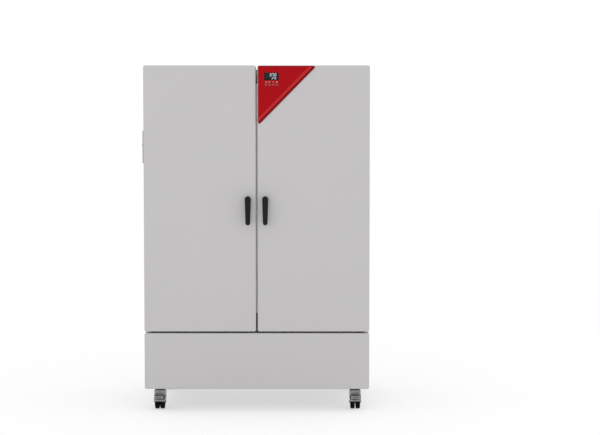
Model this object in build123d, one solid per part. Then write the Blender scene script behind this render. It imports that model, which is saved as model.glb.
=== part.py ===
from build123d import *
import math
import os

# Two-door cooling incubator on four twin-wheel castors.
# Millimetres. X runs to the right as seen from the front, Y to the back and Z up.
# The origin is on the floor, under the middle of the cabinet.

# Cabinet
cabinet_width = 1250.0  # over the doors
cabinet_depth = 890.0  # door faces to the back of the rear cover
cabinet_height = 1925.0  # floor to the top edge of the doors
floor_clearance = 130.0  # floor to the underside of the base
base_height = 312.5  # machine compartment
side_step = 5.0  # housing sides stand this far inside the door edges
top_step = 18.0  # housing top stands this far below the door tops
steel_sheet = 1.5
corner_round = 10.0  # corners of the doors and the base front, seen from the front
edge_round = 6.0  # their front edges
casing_round = 5.0
touch = 0.3  # between pieces of different bodies that rest or close on each other
running_fit = 0.05  # radial, shafts and pins that turn
loose_fit = 0.5  # round pieces that pass through foam and sheet

# Chamber
chamber_width = 970.0
chamber_height = 1250.0
usable_depth = 576.0  # rebate step to the air baffle
plenum_depth = 104.0  # behind the air baffle
floor_insulation = 122.5  # chamber floor above the machine compartment
liner_sheet = 1.2
liner_round = 15.0
liner_flange = 12.0
rebate_step = 10.0  # the mouth is this much wider all round, for the glass doors
rebate_depth = 16.0
baffle_sheet = 1.5
ledge_width = 8.0  # shelf ledges pressed into the side walls
ledge_height = 6.0
ledge_count = 9
ledge_first = 100.0  # lowest ledge above the chamber floor
ledge_pitch = 130.0
ledge_front_inset = 20.0
ledge_rear_inset = 6.0

# Outer doors
door_depth = 78.0
door_gap = 9.0  # between the doors, and between the doors and the base front
gasket_depth = 14.0
gasket_width = 16.0
gasket_round = 4.0
hinge_inset = 20.0  # pivot axis from the door's outer edge
hinge_setback = 40.0  # pivot axis from the door face
hinge_pin_diameter = 12.0
hinge_plate = 5.0
hinge_bracket_width = 35.0
hinge_arm_width = 24.0
hinge_arm_reach = 70.0  # upper bracket, back over the housing top
hinge_leg_height = 48.0
hinge_bush_diameter = 24.0
hinge_bush_length = 22.0
hinge_gap = 2.0  # lower bracket to the door
hinge_collar = 4.0  # wider than the pin all round
hinge_pin_gap = 2.0  # pin to the end of its bush
hinge_seat_setback = 8.0  # upper bracket, behind the front frame
hinge_screw_diameter = 10.0
hinge_screw_height = 4.0
hinge_screw_inset = 14.0
channel_drop = 8.0  # filled part of the door ends this far below the housing top
lip_depth = 20.0  # centre seal
lip_setback = 20.0

# Door handles and locks
handle_offset = 48.0  # spindle from the middle of the cabinet
handle_top = 1205.0
handle_length = 160.0
handle_top_width = 33.5
handle_tip_width = 26.0
handle_thickness = 22.0
finger_space = 26.0
handle_round = 9.0
handle_back_round = 3.0
handle_neck_diameter = 30.0
spindle_diameter = 12.0
spindle_square = 8.0
spindle_square_length = 30.0
spindle_tip_diameter = 6.0
handle_turn = 90.0
gear_module = 1.25
pinion_teeth = 16
pressure_angle = math.radians(20)
backlash = 0.2  # taken off each tooth
rod_width = 10.0
rod_thickness = 6.0
rod_overrun = 10.0  # beyond the studs
stud_diameter = 8.0
stud_clearance = 2.0
catch_margin = 2.0  # from the chamber mouth
catch_wall = 4.0
catch_depth = 9.0
catch_back = 2.0
catch_round = 3.0
catch_web = 11.0
stud_end_gap = 1.0  # studs to the backs of the catches
gasket_margin = 3.0  # gasket from the catches

# Inner glass doors
glass_thickness = 6.0
glass_setback = 5.0  # glass face behind the front frame
glass_gap = 4.0  # between the two panes
glass_edge = 1.5  # pane to the top and bottom of its rebate
glass_pivot_inset = 7.0  # pivot axis from the side of the rebate
glass_side_edge = 4.0  # pane to the side of the rebate
glass_barrel_diameter = 12.0
glass_barrel_height = 17.0
glass_notch_gap = 2.0  # pane to the barrel
glass_clamp_height = 20.0
glass_clamp_root = 3.0  # stretch of the clamp beside the barrel
glass_clamp_inner = 4.0  # clamp past the barrel
glass_clamp_outer = 2.0  # clamp past the pivot axis
glass_clamp_thickness = 10.0
glass_pin_diameter = 6.0
glass_pin_length = 11.0
knob_diameter = 24.0
knob_length = 14.0
knob_grip = 6.0
knob_bevel = 2.0
knob_nut = 3.0  # behind the pane
knob_offset = 26.0

# Shelves
shelf_depth = 500.0
shelf_side_clearance = 1.0
shelf_rod = 8.0
shelf_wire = 4.0
shelf_wire_pitch = 40.0
shelf_rear_gap = 5.0
shelf_levels = (3, 6)  # ledges that carry the shelves, counted from the lowest

# Control fascia, in the upper inner corner of the right door
fascia_width = 324.0
fascia_height = 329.0
fascia_side_inset = 3.3
fascia_top_inset = 2.2
fascia_base = 4.0
fascia_rise = 6.0
fascia_bevel = 4.0
fascia_slope = 18.0  # bevel along the long side
fascia_round = 8.0
display_width = 80.4
display_height = 42.4
display_left = 37.3  # from the door's inner edge
display_drop = 40.2  # below the door's top edge
display_depth = 2.0
key_count = 4
key_width = 15.0
key_height = 12.0
key_pitch = 20.0
key_drop = 100.0
key_proud = 1.2
key_travel = 0.8
key_depth = 3.5
key_clearance = 0.3
key_round = 2.0
key_edge = 0.5

# Air circulation and cooling
motor_diameter = 90.0
motor_length = 44.0
motor_round = 6.0
motor_foot_width = 126.0
motor_foot_height = 28.0
motor_foot_thickness = 4.0
fan_height = 900.0  # fan axis above the chamber floor
fan_diameter = 200.0
fan_hub_diameter = 50.0
fan_hub_length = 28.0
fan_setback = 25.0  # hub behind the air baffle
fan_blades = 6
fan_shaft_diameter = 10.0
shaft_overrun = 4.0  # in front of the hub
blade_root_chord = 37.5
blade_tip_chord = 0.3  # of the fan's diameter
blade_root_pitch = 40.0  # degrees
blade_tip_pitch = 20.0
blade_thickness = 2.5
blade_sink = 4.0  # blade root inside the hub
heater_diameter = 250.0
heater_rod = 8.0
heater_sleeve = 12.0
evaporator_width = 700.0
evaporator_height = 320.0
evaporator_depth = 60.0
evaporator_rise = 160.0  # above the chamber floor
evaporator_fins = 24
evaporator_bends = 3
slit_depth = 36.0  # between the fins of both coils
tube_diameter = 10.0
slot_length = 44.0
slot_height = 7.0
slot_pitch = 56.0
slot_column = 388.0  # from the middle of the baffle
grille_slots = 9
grille_pitch = 18.2
baffle_bead_width = 4.0  # ridge on the chamber floor, in front of the baffle
baffle_bead_height = 2.5

# Machine compartment
rail_height = 42.0
rail_width = 40.0
rail_sheet = 3.0
cross_rail_width = 100.0
tray_sheet = 3.0
compressor_diameter = 190.0
compressor_height = 205.0
compressor_feet = 12.0
compressor_foot_diameter = 26.0
compressor_seam = 5.0  # wider than the can all round
compressor_seam_height = 6.0
compressor_plate_share = 1.15  # of the can's diameter
compressor_plate = 5.0
terminal_width = 56.0
terminal_height = 48.0
terminal_depth = 32.0
terminal_rise = 30.0  # above the middle of the can
compressor_x = -300.0
compressor_y = 150.0
suction_drop = 100.0  # below the floor of the insulated chamber
liquid_drop = 140.0
discharge_drop = 170.0
stub_length = 12.0
stub_wall = 2.0
condenser_x = 270.0
condenser_y = 215.0
condenser_width = 400.0
condenser_height = 225.0
condenser_depth = 60.0
condenser_fins = 16
condenser_fan_diameter = 190.0
shroud_depth = 30.0
condenser_fan_gap = 8.0
condenser_fan_hub_length = 24.0
fan_tip_clearance = 6.0
condenser_motor_diameter = 72.0
condenser_motor_gap = 30.0
condenser_strut = 8.0

# Rear cover
rear_cover_depth = 20.0
rear_cover_inset = 8.0
louvre_width = 230.0
louvre_height = 10.0
louvre_pitch = 26.0
louvre_rows = 8
louvre_rise = 50.0  # lowest louvre above the underside of the base
louvre_tilt = 35.0  # degrees
bead_width = 40.0
bead_height = 2.0
bead_inset = 100.0  # stiffening beads from the chamber's floor and ceiling
screw_inset = 14.0
screw_head_diameter = 9.0
screw_head_height = 2.6
screw_rows = 5

# Side control box, access port and power inlet
control_box_height = 182.0
control_box_bottom = 1386.0
control_box_width = 50.0
control_box_depth = 24.0
control_box_front = 110.0  # behind the door faces
ear_height = 16.0
ear_thickness = 4.0
ear_width = 22.0
ear_screw_diameter = 14.0
ear_screw_height = 4.0
control_box_round = 6.0
control_box_edge = 4.0
switch_width = 18.0
switch_height = 36.0
switch_rise = 113.0  # above the lower end of the box
switch_rock = 7.0  # degrees each way
switch_pivot_depth = 7.0  # behind the box face
port_diameter = 30.0
port_wall = 2.0
port_height = 685.0  # above the chamber floor
port_y = 50.0
port_flange_diameter = 56.0
port_flange = 4.0
port_inner_flange_diameter = 48.0
port_inner_flange = 2.0
plug_head_diameter = 44.0
plug_head_length = 14.0
plug_round = 4.0
plug_setback = 10.0  # behind the chamber wall
plug_groove_start = 3.0  # from the flange
plug_groove = 3.0  # wide and deep
inlet_side_inset = 200.0  # from the right wall
inlet_z = 620.0
inlet_width = 27.0
inlet_height = 20.0
inlet_depth = 17.5
inlet_wall = 3.0
inlet_flange_width = 50.0
inlet_pin = 2.0
inlet_pin_pitch = 7.0
inlet_pin_drop = 3.0  # outer pins below the middle
inlet_earth_rise = 1.0

# Castors
castor_side_inset = 74.0  # swivel axes from the door edges
castor_front_inset = 152.0  # from the door faces
castor_rear_inset = 95.0
castor_plate = 5.0
castor_plate_length = 96.0
castor_plate_width = 80.0
castor_plate_round = 8.0
castor_bolt_across = 74.0
castor_bolt_along = 58.0
castor_bolt_radius = 7.0
castor_bolt_height = 4.0
castor_trail = 35.0
wheel_diameter = 80.0
wheel_width = 25.0
wheel_gap = 6.0
wheel_round = 5.0
wheel_recess_width = 5.0  # dished side of each wheel
wheel_recess_middle = 18.0  # from the axle
wheel_recess_height = 16.0
axle_diameter = 8.0
fork_sheet = 2.0
fork_side_gap = 1.0
fork_skirt = 48.0  # lower edge of the hood above the floor
fork_round = 7.0
axle_cap = 3.0
axle_cap_diameter = 12.8
wheel_clearance = 3.0
kingpin_diameter = 12.0
swivel_radius = 24.0
swivel_height = 14.0
pedal_width = 50.0
pedal_reach = 36.0
pedal_pivot_gap = 8.0  # in front of the wheels
pedal_pivot_rise = 2.0  # above the wheels
pedal_pin_diameter = 5.0
pedal_pin_length = 44.0
pedal_ear_offset = 20.5
pedal_ear_thickness = 3.0
pedal_ear_height = 10.0
pedal_ear_front = 4.0  # past the pin
pedal_barrel_diameter = 9.0
pedal_plate = 3.5
pedal_plate_rise = 2.0  # top of the plate above the pin
pedal_plate_gap = 6.0  # plate to the pin
pedal_lip = 3.0
pedal_lip_drop = 12.0
pedal_slot_inset = 8.0
pedal_slot_height = 4.0

# Places worked out from the sizes
half_width = cabinet_width / 2
front = -cabinet_depth / 2
casing_half = half_width - side_step
casing_top = cabinet_height - top_step
casing_rear = cabinet_depth / 2 - rear_cover_depth
base_top = floor_clearance + base_height
door_inner = door_gap / 2
door_bottom = base_top + door_gap
door_rear = front + door_depth
frame_front = door_rear + gasket_depth
core_top = casing_top - channel_drop
liner_inside = door_rear - steel_sheet  # front surface of the door liner
pivot_x = half_width - hinge_inset
pivot_y = front + hinge_setback

chamber_half = chamber_width / 2
chamber_floor = base_top + floor_insulation
chamber_ceiling = chamber_floor + chamber_height
chamber_front = frame_front + rebate_depth
baffle_front = chamber_front + usable_depth
plenum_front = baffle_front + baffle_sheet
plenum_back = plenum_front + plenum_depth
mouth_half = chamber_half + rebate_step
mouth_bottom = chamber_floor - rebate_step
mouth_top = chamber_ceiling + rebate_step

pitch_radius = gear_module * pinion_teeth / 2
tooth_pitch = math.pi * gear_module
lock_travel = pitch_radius * math.radians(handle_turn)
handle_z = handle_top - handle_top_width / 2
rack_x = handle_offset - pitch_radius
rack_root_x = rack_x - 1.25 * gear_module
rod_x = rack_root_x - rod_width / 2
rod_rear = liner_inside - touch
rod_front = rod_rear - rod_thickness
pocket_height = stud_diameter + lock_travel + 2 * stud_clearance
upper_pocket_low = mouth_top + catch_margin + catch_wall
lower_pocket_high = mouth_bottom - catch_margin - catch_wall
upper_stud_z = upper_pocket_low + pocket_height - stud_clearance - stud_diameter / 2
lower_stud_z = lower_pocket_high - stud_clearance - stud_diameter / 2
gasket_top = upper_pocket_low + pocket_height + catch_wall + gasket_margin
gasket_bottom = lower_pocket_high - pocket_height - catch_wall - gasket_margin
gasket_side = pivot_x - hinge_bracket_width / 2 - gasket_margin

glass_front = frame_front + glass_setback
glass_rear = glass_front + glass_thickness
glass_y = (glass_front + glass_rear) / 2
glass_pivot_x = mouth_half - glass_pivot_inset
fan_z = chamber_floor + fan_height
fan_front = plenum_front + fan_setback
inlet_x = casing_half - inlet_side_inset
castor_x = half_width - castor_side_inset
castor_y = {"front": front + castor_front_inset, "rear": cabinet_depth / 2 - castor_rear_inset}
tray_top = floor_clearance + rail_height + tray_sheet
suction_z = base_top - suction_drop
liquid_z = base_top - liquid_drop
discharge_z = base_top - discharge_drop
REACH = 50.0  # how far a cutting block runs past what it cuts
PAST = 1.0  # how far a cut runs past a face, and a fused piece into its neighbour


def block(x, y, z):
    """Box between limits, each given as a pair."""
    middle = [(low + high) / 2 for low, high in (x, y, z)]
    return Pos(*middle) * Box(*[high - low for low, high in (x, y, z)])


def around(middle, half):
    """Limits the same distance each side of a middle."""
    return (middle - half, middle + half)


def rod_along_x(radius, x, y, z):
    return Pos(sum(x) / 2, y, z) * Rot(0, 90, 0) * Cylinder(radius, x[1] - x[0])


def rod_along_y(radius, x, y, z):
    return Pos(x, sum(y) / 2, z) * Rot(90, 0, 0) * Cylinder(radius, y[1] - y[0])


def rod_along_z(radius, x, y, z):
    return Pos(x, y, sum(z) / 2) * Cylinder(radius, z[1] - z[0])


def rounded(solid, axis, radius):
    """The solid with its edges along an axis rounded."""
    return fillet(solid.edges().filter_by(axis), radius)


def other_side(solid):
    return mirror(solid, about=Plane.YZ)


# Panels that are pressed as shallow pans: doors and base front
def pan_form(x, z, inset):
    """Outer form of a pan with rounded front corners, or its inside at a given inset."""
    low_x, high_x = x[0] + inset, x[1] - inset
    low_z, high_z = z[0] + inset, z[1] - inset
    depth = (front + inset, door_rear + (REACH if inset else 0))
    form = rounded(block((low_x, high_x), depth, (low_z, high_z)), Axis.Y, corner_round - inset)
    return fillet(form.faces().sort_by(Axis.Y)[0].edges(), edge_round - inset)


def door_limits():
    return (door_inner, half_width), (door_bottom, cabinet_height)


# Right door, which the left one mirrors
def door_skin():
    x, z = door_limits()
    skin = pan_form(x, z, 0) - pan_form(x, z, steel_sheet)
    bush_z = (door_bottom, door_bottom + hinge_bush_length)
    skin += rod_along_z(hinge_bush_diameter / 2, pivot_x, pivot_y, bush_z)
    pin_hole = hinge_pin_diameter / 2 + running_fit
    skin -= rod_along_z(pin_hole, pivot_x, pivot_y, (door_bottom - PAST, bush_z[1] + PAST))
    spindle_hole = spindle_diameter / 2 + running_fit
    skin -= rod_along_y(spindle_hole, handle_offset, around(front, 2 * steel_sheet), handle_z)
    # The upper hinge arm swings out through the side wall when the door opens.
    notch_front = pivot_y - hinge_arm_width / 2 - hinge_inset / 2
    notch_z = (core_top, casing_top + hinge_plate + channel_drop / 2)
    notch_x = (half_width - 2 * steel_sheet, half_width + PAST)
    skin -= block(notch_x, (notch_front, door_rear + PAST), notch_z)
    return skin


def stud_slot(stud_z):
    """Slot in the door liner that a lock stud slides in."""
    half = stud_diameter / 2 + loose_fit
    limits = (stud_z - lock_travel - half, stud_z + half)
    return block(around(rod_x, half), (liner_inside - PAST, door_rear + PAST), limits)


def door_liner():
    x, z = door_limits()
    inside = pan_form(x, z, steel_sheet)
    wall = (liner_inside, door_rear)
    sheet = inside & block((x[0], x[1]), wall, (z[0], core_top))
    sheet += inside & block((x[0], x[1]), (front, door_rear), (core_top - steel_sheet, core_top))
    bush_z = (core_top - hinge_bush_length, core_top)
    sheet += rod_along_z(hinge_bush_diameter / 2, pivot_x, pivot_y, bush_z)
    pin_hole = hinge_pin_diameter / 2 + running_fit
    sheet -= rod_along_z(pin_hole, pivot_x, pivot_y, (bush_z[0] - PAST, bush_z[1] + PAST))
    sheet -= stud_slot(upper_stud_z) + stud_slot(lower_stud_z)
    tip_hole = spindle_tip_diameter / 2 + running_fit
    through = (liner_inside - PAST, door_rear + PAST)
    return sheet - rod_along_y(tip_hole, handle_offset, through, handle_z)


def door_foam():
    x, z = door_limits()
    foam = pan_form(x, z, steel_sheet) & block(x, (front, liner_inside), (z[0], core_top - steel_sheet))
    bush = hinge_bush_diameter / 2 + touch
    for end in (door_bottom, core_top - hinge_bush_length):
        foam -= rod_along_z(bush, pivot_x, pivot_y, (end - touch, end + hinge_bush_length + touch))
    gear_space = pitch_radius + gear_module + loose_fit
    gear_y = (rod_front - loose_fit, liner_inside)
    foam -= rod_along_y(gear_space, handle_offset, gear_y, handle_z)
    foam -= rod_along_y(spindle_diameter / 2 + loose_fit, handle_offset, (front, liner_inside), handle_z)
    low = lower_stud_z - rod_overrun - lock_travel - stud_clearance
    high = upper_stud_z + rod_overrun + stud_clearance
    rod_half = rod_width / 2 + loose_fit
    foam -= block(around(rod_x, rod_half), gear_y, (low, high))
    teeth_x = (rod_x, rack_x + gear_module + loose_fit)
    teeth_z = (handle_z - lock_travel - 3 * tooth_pitch, handle_z + (rack_teeth() + 1) * tooth_pitch)
    return foam - block(teeth_x, gear_y, teeth_z)


def door_gasket():
    """Frame gasket on three sides of the door, and the seal that meets the other door."""
    frame_z = (gasket_bottom - gasket_width, gasket_top + gasket_width)
    y = (door_rear, frame_front - touch)
    ring = block((-REACH, gasket_side), y, frame_z)
    hollow_x = (-2 * REACH, gasket_side - gasket_width)
    ring -= block(hollow_x, around(door_rear, REACH), (gasket_bottom, gasket_top))
    ring = fillet(ring.faces().sort_by(Axis.Y)[-1].edges(), gasket_round)
    ring &= block((door_inner, half_width), around(door_rear, REACH), frame_z)
    lip_y = (front + lip_setback, front + lip_setback + lip_depth)
    lip_z = (lower_pocket_high + catch_wall, upper_pocket_low - catch_wall)
    lip = block((touch, door_inner), lip_y, lip_z)
    lip = fillet(lip.faces().sort_by(Axis.X)[0].edges().filter_by(Axis.Z), door_inner / 2)
    return Compound(children=[ring.solid(), lip.solid()])


def pinion_outline():
    """Involute pinion with a tooth space facing the rack."""
    base_radius = pitch_radius * math.cos(pressure_angle)
    involute = math.tan(pressure_angle) - pressure_angle
    at_pitch = (tooth_pitch / 2 - backlash) / 2 / pitch_radius
    tip_radius = pitch_radius + gear_module
    root_radius = pitch_radius - 1.25 * gear_module
    tip_angle = math.acos(base_radius / tip_radius)
    at_tip = at_pitch + involute - (math.tan(tip_angle) - tip_angle)
    at_root = at_pitch + involute
    flank = [(root_radius, -at_root), (pitch_radius, -at_pitch), (tip_radius, -at_tip)]
    flank += [(tip_radius, at_tip), (pitch_radius, at_pitch), (root_radius, at_root)]
    points = []
    for tooth in range(pinion_teeth):
        middle = math.pi + (tooth + 0.5) * 2 * math.pi / pinion_teeth
        for radius, angle in flank:
            turn = middle + angle
            points.append((radius * math.cos(turn), radius * math.sin(turn)))
    return make_face(Polyline(*points, close=True))


def lock_pinion():
    """Spindle with its pinion, a square end for the handle and a pivot in the door liner."""
    plane = Plane(origin=(handle_offset, rod_rear, handle_z), x_dir=(1, 0, 0), z_dir=(0, -1, 0))
    gear = extrude(plane * pinion_outline(), amount=rod_thickness)
    shaft = rod_along_y(spindle_diameter / 2, handle_offset, (front - touch, rod_front), handle_z)
    tip = rod_along_y(spindle_tip_diameter / 2, handle_offset, (rod_rear, door_rear - touch), handle_z)
    half = spindle_square / 2
    square_y = (front - touch - spindle_square_length, front - touch)
    return gear + shaft + tip + block(around(handle_offset, half), square_y, around(handle_z, half))


def rack_teeth():
    """Number of the last tooth above the pinion, so that the rack still meshes when the rod is down."""
    return math.ceil((lock_travel + 2 * tooth_pitch) / tooth_pitch)


def lock_rod():
    """Bar with a stretch of rack beside the pinion, and a stud riveted on near each end."""
    y = (rod_front, rod_rear)
    bar = block(around(rod_x, rod_width / 2), y, (lower_stud_z - rod_overrun, upper_stud_z + rod_overrun))
    half_tooth = (tooth_pitch / 2 - backlash) / 2
    slope = math.tan(pressure_angle)
    depth = 1.25 * gear_module
    at_tip = half_tooth - gear_module * slope
    at_root = half_tooth + depth * slope
    for tooth in range(-2, rack_teeth() + 1):
        z = handle_z + tooth * tooth_pitch
        outline = Polyline(
            (rack_root_x - PAST, z - at_root),
            (rack_root_x, z - at_root),
            (rack_x + gear_module, z - at_tip),
            (rack_x + gear_module, z + at_tip),
            (rack_root_x, z + at_root),
            (rack_root_x - PAST, z + at_root),
            close=True,
        )
        bar += extrude(Plane.XZ.offset(-rod_rear) * make_face(outline), amount=rod_thickness)
    stud_y = (rod_rear, frame_front - catch_back - stud_end_gap)
    studs = [rod_along_y(stud_diameter / 2, rod_x, stud_y, z) for z in (lower_stud_z, upper_stud_z)]
    return Compound(children=[piece.solid() for piece in (bar, *studs)])


def handle():
    """Tapered lever that hangs from its boss, clear of the door by the finger space."""
    top_radius = handle_top_width / 2
    tip_radius = handle_tip_width / 2
    tip_z = handle_top - handle_length + tip_radius
    plane = Plane.XZ.offset(-(front - finger_space))
    ends = Sketch() + Pos(handle_offset, handle_z) * Circle(top_radius)
    ends += Pos(handle_offset, tip_z) * Circle(tip_radius)
    lever = extrude(plane * make_hull(ends.edges()), amount=handle_thickness)
    lever = fillet(lever.faces().sort_by(Axis.Y)[0].edges(), handle_round)
    lever = fillet(lever.faces().sort_by(Axis.Y)[-1].edges(), handle_back_round)
    neck_y = (front - finger_space - handle_back_round, front - touch)
    lever += rod_along_y(handle_neck_diameter / 2, handle_offset, neck_y, handle_z)
    half = spindle_square / 2
    square_y = (front - touch - spindle_square_length, front - touch)
    return lever - block(around(handle_offset, half), square_y, around(handle_z, half))


def glass_door():
    x = (glass_gap / 2, mouth_half - glass_side_edge)
    z = (mouth_bottom + glass_edge, mouth_top - glass_edge)
    pane = block(x, (glass_front, glass_rear), z)
    corner_x = (glass_pivot_x - glass_barrel_diameter / 2 - glass_notch_gap, mouth_half)
    for limits in ((z[0] - PAST, z[0] + glass_barrel_height), (z[1] - glass_barrel_height, z[1] + PAST)):
        pane -= block(corner_x, around(glass_y, REACH), limits)
    hole_z = (chamber_floor + chamber_ceiling) / 2
    hole = rod_along_y(glass_pin_diameter / 2 + touch, knob_offset, around(glass_y, REACH), hole_z)
    return pane - hole


def glass_fittings():
    """Pivot barrels that clamp the pane's outer corners, and the knob near its free edge."""
    fittings = []
    radius = glass_barrel_diameter / 2
    pane = glass_door()
    for edge, inward in ((mouth_bottom + glass_edge, 1), (mouth_top - glass_edge, -1)):
        barrel_end = edge + inward * touch
        barrel_z = sorted((barrel_end, edge + inward * (glass_barrel_height - loose_fit)))
        barrel = rod_along_z(radius, glass_pivot_x, glass_y, barrel_z)
        clamp_start = edge + inward * (glass_barrel_height - glass_clamp_root)
        clamp_end = edge + inward * (glass_barrel_height + glass_clamp_height)
        clamp_x = (glass_pivot_x - radius - glass_clamp_inner, glass_pivot_x + glass_clamp_outer)
        barrel += block(clamp_x, around(glass_y, glass_clamp_thickness / 2), sorted((clamp_start, clamp_end)))
        bore_z = sorted((edge - inward * PAST, edge + inward * (glass_pin_length + PAST)))
        barrel -= rod_along_z(glass_pin_diameter / 2 + running_fit, glass_pivot_x, glass_y, bore_z)
        fittings.append((barrel - pane).solid())
    z = (chamber_floor + chamber_ceiling) / 2
    base, neck = knob_diameter / 2, knob_diameter / 4
    grip = base - knob_bevel
    grip_start = knob_length - knob_grip
    grip_end = knob_length - knob_bevel
    outline = Polyline(
        (0, 0), (base, 0), (base, knob_bevel), (neck, 2 * knob_bevel), (neck, grip_start - PAST),
        (grip, grip_start), (grip, grip_end), (grip - knob_bevel, knob_length), (0, knob_length),
        close=True,
    )
    plane = Plane(origin=(knob_offset, glass_front, z), x_dir=(1, 0, 0), z_dir=(0, 0, 1))
    knob = revolve(plane * make_face(Rot(0, 0, 180) * outline), axis=Axis((knob_offset, 0, z), (0, 1, 0)))
    knob += rod_along_y(glass_pin_diameter / 2, knob_offset, (glass_front - PAST, glass_rear + PAST), z)
    knob += rod_along_y(grip, knob_offset, (glass_rear, glass_rear + knob_nut), z)
    fittings.append(knob.solid())
    return Compound(children=fittings)


# Control fascia with its display and keys, on the right door only
def fascia_outline(inset, slope_inset, corner):
    """Right-angled outline with its square corner at the door's top inner corner."""
    steep = math.hypot(1 / fascia_width, 1 / fascia_height)
    reach = 1 - slope_inset * steep
    across = fascia_width * (reach - inset / fascia_height)
    down = fascia_height * (reach - inset / fascia_width)
    left = door_inner + fascia_side_inset
    top = cabinet_height - fascia_top_inset
    corners = [(left + inset, top - inset), (left + across, top - inset), (left + inset, top - down)]
    face = make_face(Polyline(*corners, close=True))
    return fillet(face.vertices(), corner)


def display_limits(margin):
    left = door_inner + display_left
    top = cabinet_height - display_drop
    return (left - margin, left + display_width + margin), (top - display_height - margin, top + margin)


def key_limits(number, margin):
    middle = door_inner + display_left + display_width / 2 + (number - (key_count - 1) / 2) * key_pitch
    z = cabinet_height - key_drop - key_height / 2
    return around(middle, key_width / 2 + margin), around(z, key_height / 2 + margin)


def control_fascia():
    base = Plane.XZ.offset(-front) * fascia_outline(0, 0, fascia_round)
    lower = Plane.XZ.offset(-front + fascia_base) * fascia_outline(0, 0, fascia_round)
    upper_outline = fascia_outline(fascia_bevel, fascia_slope, fascia_round / 2)
    upper = Plane.XZ.offset(-front + fascia_base + fascia_rise) * upper_outline
    fascia = extrude(base, amount=fascia_base) + loft([lower, upper], ruled=True)
    face = front - fascia_base - fascia_rise
    x, z = display_limits(0)
    fascia -= block(x, (face - PAST, face + display_depth), z)
    for number in range(key_count):
        x, z = key_limits(number, key_clearance)
        pocket = (face - PAST, face - key_proud + key_depth + key_travel + touch)
        fascia -= rounded(block(x, pocket, z), Axis.Y, key_round + key_clearance)
    return fascia


def display_window():
    face = front - fascia_base - fascia_rise
    x, z = display_limits(0)
    return block(x, (face, face + display_depth), z)


def key(number):
    face = front - fascia_base - fascia_rise
    x, z = key_limits(number, 0)
    cap = rounded(block(x, (face - key_proud, face - key_proud + key_depth), z), Axis.Y, key_round)
    return fillet(cap.faces().sort_by(Axis.Y)[0].edges(), key_edge)


# Housing
def liner_form(growth, back):
    """Chamber, mouth and flange as one solid, grown outwards by the liner's thickness."""
    chamber_z = (chamber_floor - growth, chamber_ceiling + growth)
    chamber = block(around(0, chamber_half + growth), (chamber_front, back), chamber_z)
    chamber = rounded(chamber, Axis.Y, liner_round + growth)
    mouth_y = (frame_front, chamber_front + growth)
    mouth = block(around(0, mouth_half + growth), mouth_y, (mouth_bottom - growth, mouth_top + growth))
    return chamber + mouth


def chamber_liner():
    growth = liner_sheet
    liner = liner_form(growth, plenum_back + growth)
    flange_z = (mouth_bottom - liner_flange, mouth_top + liner_flange)
    liner += block(around(0, mouth_half + liner_flange), (frame_front, frame_front + growth), flange_z)
    liner -= liner_form(0, plenum_back)
    ledge_y = (chamber_front + ledge_front_inset, baffle_front - ledge_rear_inset)
    for level in range(ledge_count):
        z = chamber_floor + ledge_first + level * ledge_pitch
        ledge = block((chamber_half - ledge_width, chamber_half + growth / 2), ledge_y, (z - ledge_height, z))
        ledge = fillet(ledge.faces().sort_by(Axis.X)[0].edges().filter_by(Axis.Y), ledge_height / 4)
        liner += ledge + other_side(ledge)
    # The bead ends where the rounding of the floor's corners begins, within the sheet.
    bead_half = chamber_half - liner_round + growth
    bead_y = (baffle_front - touch - baffle_bead_width, baffle_front - touch)
    bead_z = (chamber_floor - growth / 2, chamber_floor + baffle_bead_height)
    liner += block(around(0, bead_half), bead_y, bead_z)
    liner -= port_bore(loose_fit)
    for x in evaporator_tubes_x():
        liner -= rod_along_z(tube_diameter / 2 + touch, x, tube_y(), around(chamber_floor, REACH / 5))
    return liner


def port_bore(clearance):
    """Hole through the left wall for the access port."""
    radius = port_diameter / 2 + port_wall + clearance
    limits = (-casing_half - PAST, -chamber_half + PAST)
    return rod_along_x(radius, limits, port_y, chamber_floor + port_height)


def evaporator_tubes_x():
    return (-evaporator_width / 2 - 1.5 * tube_diameter, -evaporator_width / 2 - 4.5 * tube_diameter)


def tube_y():
    return plenum_back - evaporator_depth / 2


def insulation_foam():
    x = around(0, casing_half - steel_sheet)
    foam = block(x, (frame_front + steel_sheet, casing_rear), (base_top, casing_top - steel_sheet))
    growth = liner_sheet
    foam -= liner_form(growth, plenum_back + growth)
    foam -= port_bore(loose_fit)
    tube_z = (base_top - PAST, chamber_floor + PAST)
    for tube_x in evaporator_tubes_x():
        foam -= rod_along_z(tube_diameter / 2 + touch, tube_x, tube_y(), tube_z)
    return foam


def outer_casing():
    """Sides, top and front frame of painted sheet, with the pan under the insulation."""
    y = (frame_front, casing_rear)
    outer = block(around(0, casing_half), y, (floor_clearance, casing_top))
    top_edges = outer.faces().sort_by(Axis.Z)[-1].edges().filter_by(Axis.Y)
    outer = fillet(top_edges, casing_round)
    inner_x = around(0, casing_half - steel_sheet)
    inside_z = (floor_clearance - PAST, casing_top - steel_sheet)
    inside = block(inner_x, (y[0] + steel_sheet, y[1] + PAST), inside_z)
    casing = outer - inside
    casing += block(inner_x, (y[0] + steel_sheet, y[1]), (base_top - steel_sheet, base_top))
    front_wall = (y[0] - PAST, y[0] + steel_sheet)
    opening_z = (mouth_bottom - liner_flange, mouth_top + liner_flange)
    casing -= block(around(0, mouth_half + liner_flange), front_wall, opening_z)
    # The machine compartment is open behind the base front.
    service = (floor_clearance + rail_height + rail_width, base_top - rail_width)
    service_half = casing_half - 2 * rail_width
    casing -= block(around(0, service_half), front_wall, service)
    casing -= port_bore(loose_fit)
    for x in evaporator_tubes_x():
        casing -= rod_along_z(tube_diameter / 2 + touch, x, tube_y(), around(base_top, 2 * steel_sheet))
    return casing


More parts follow.
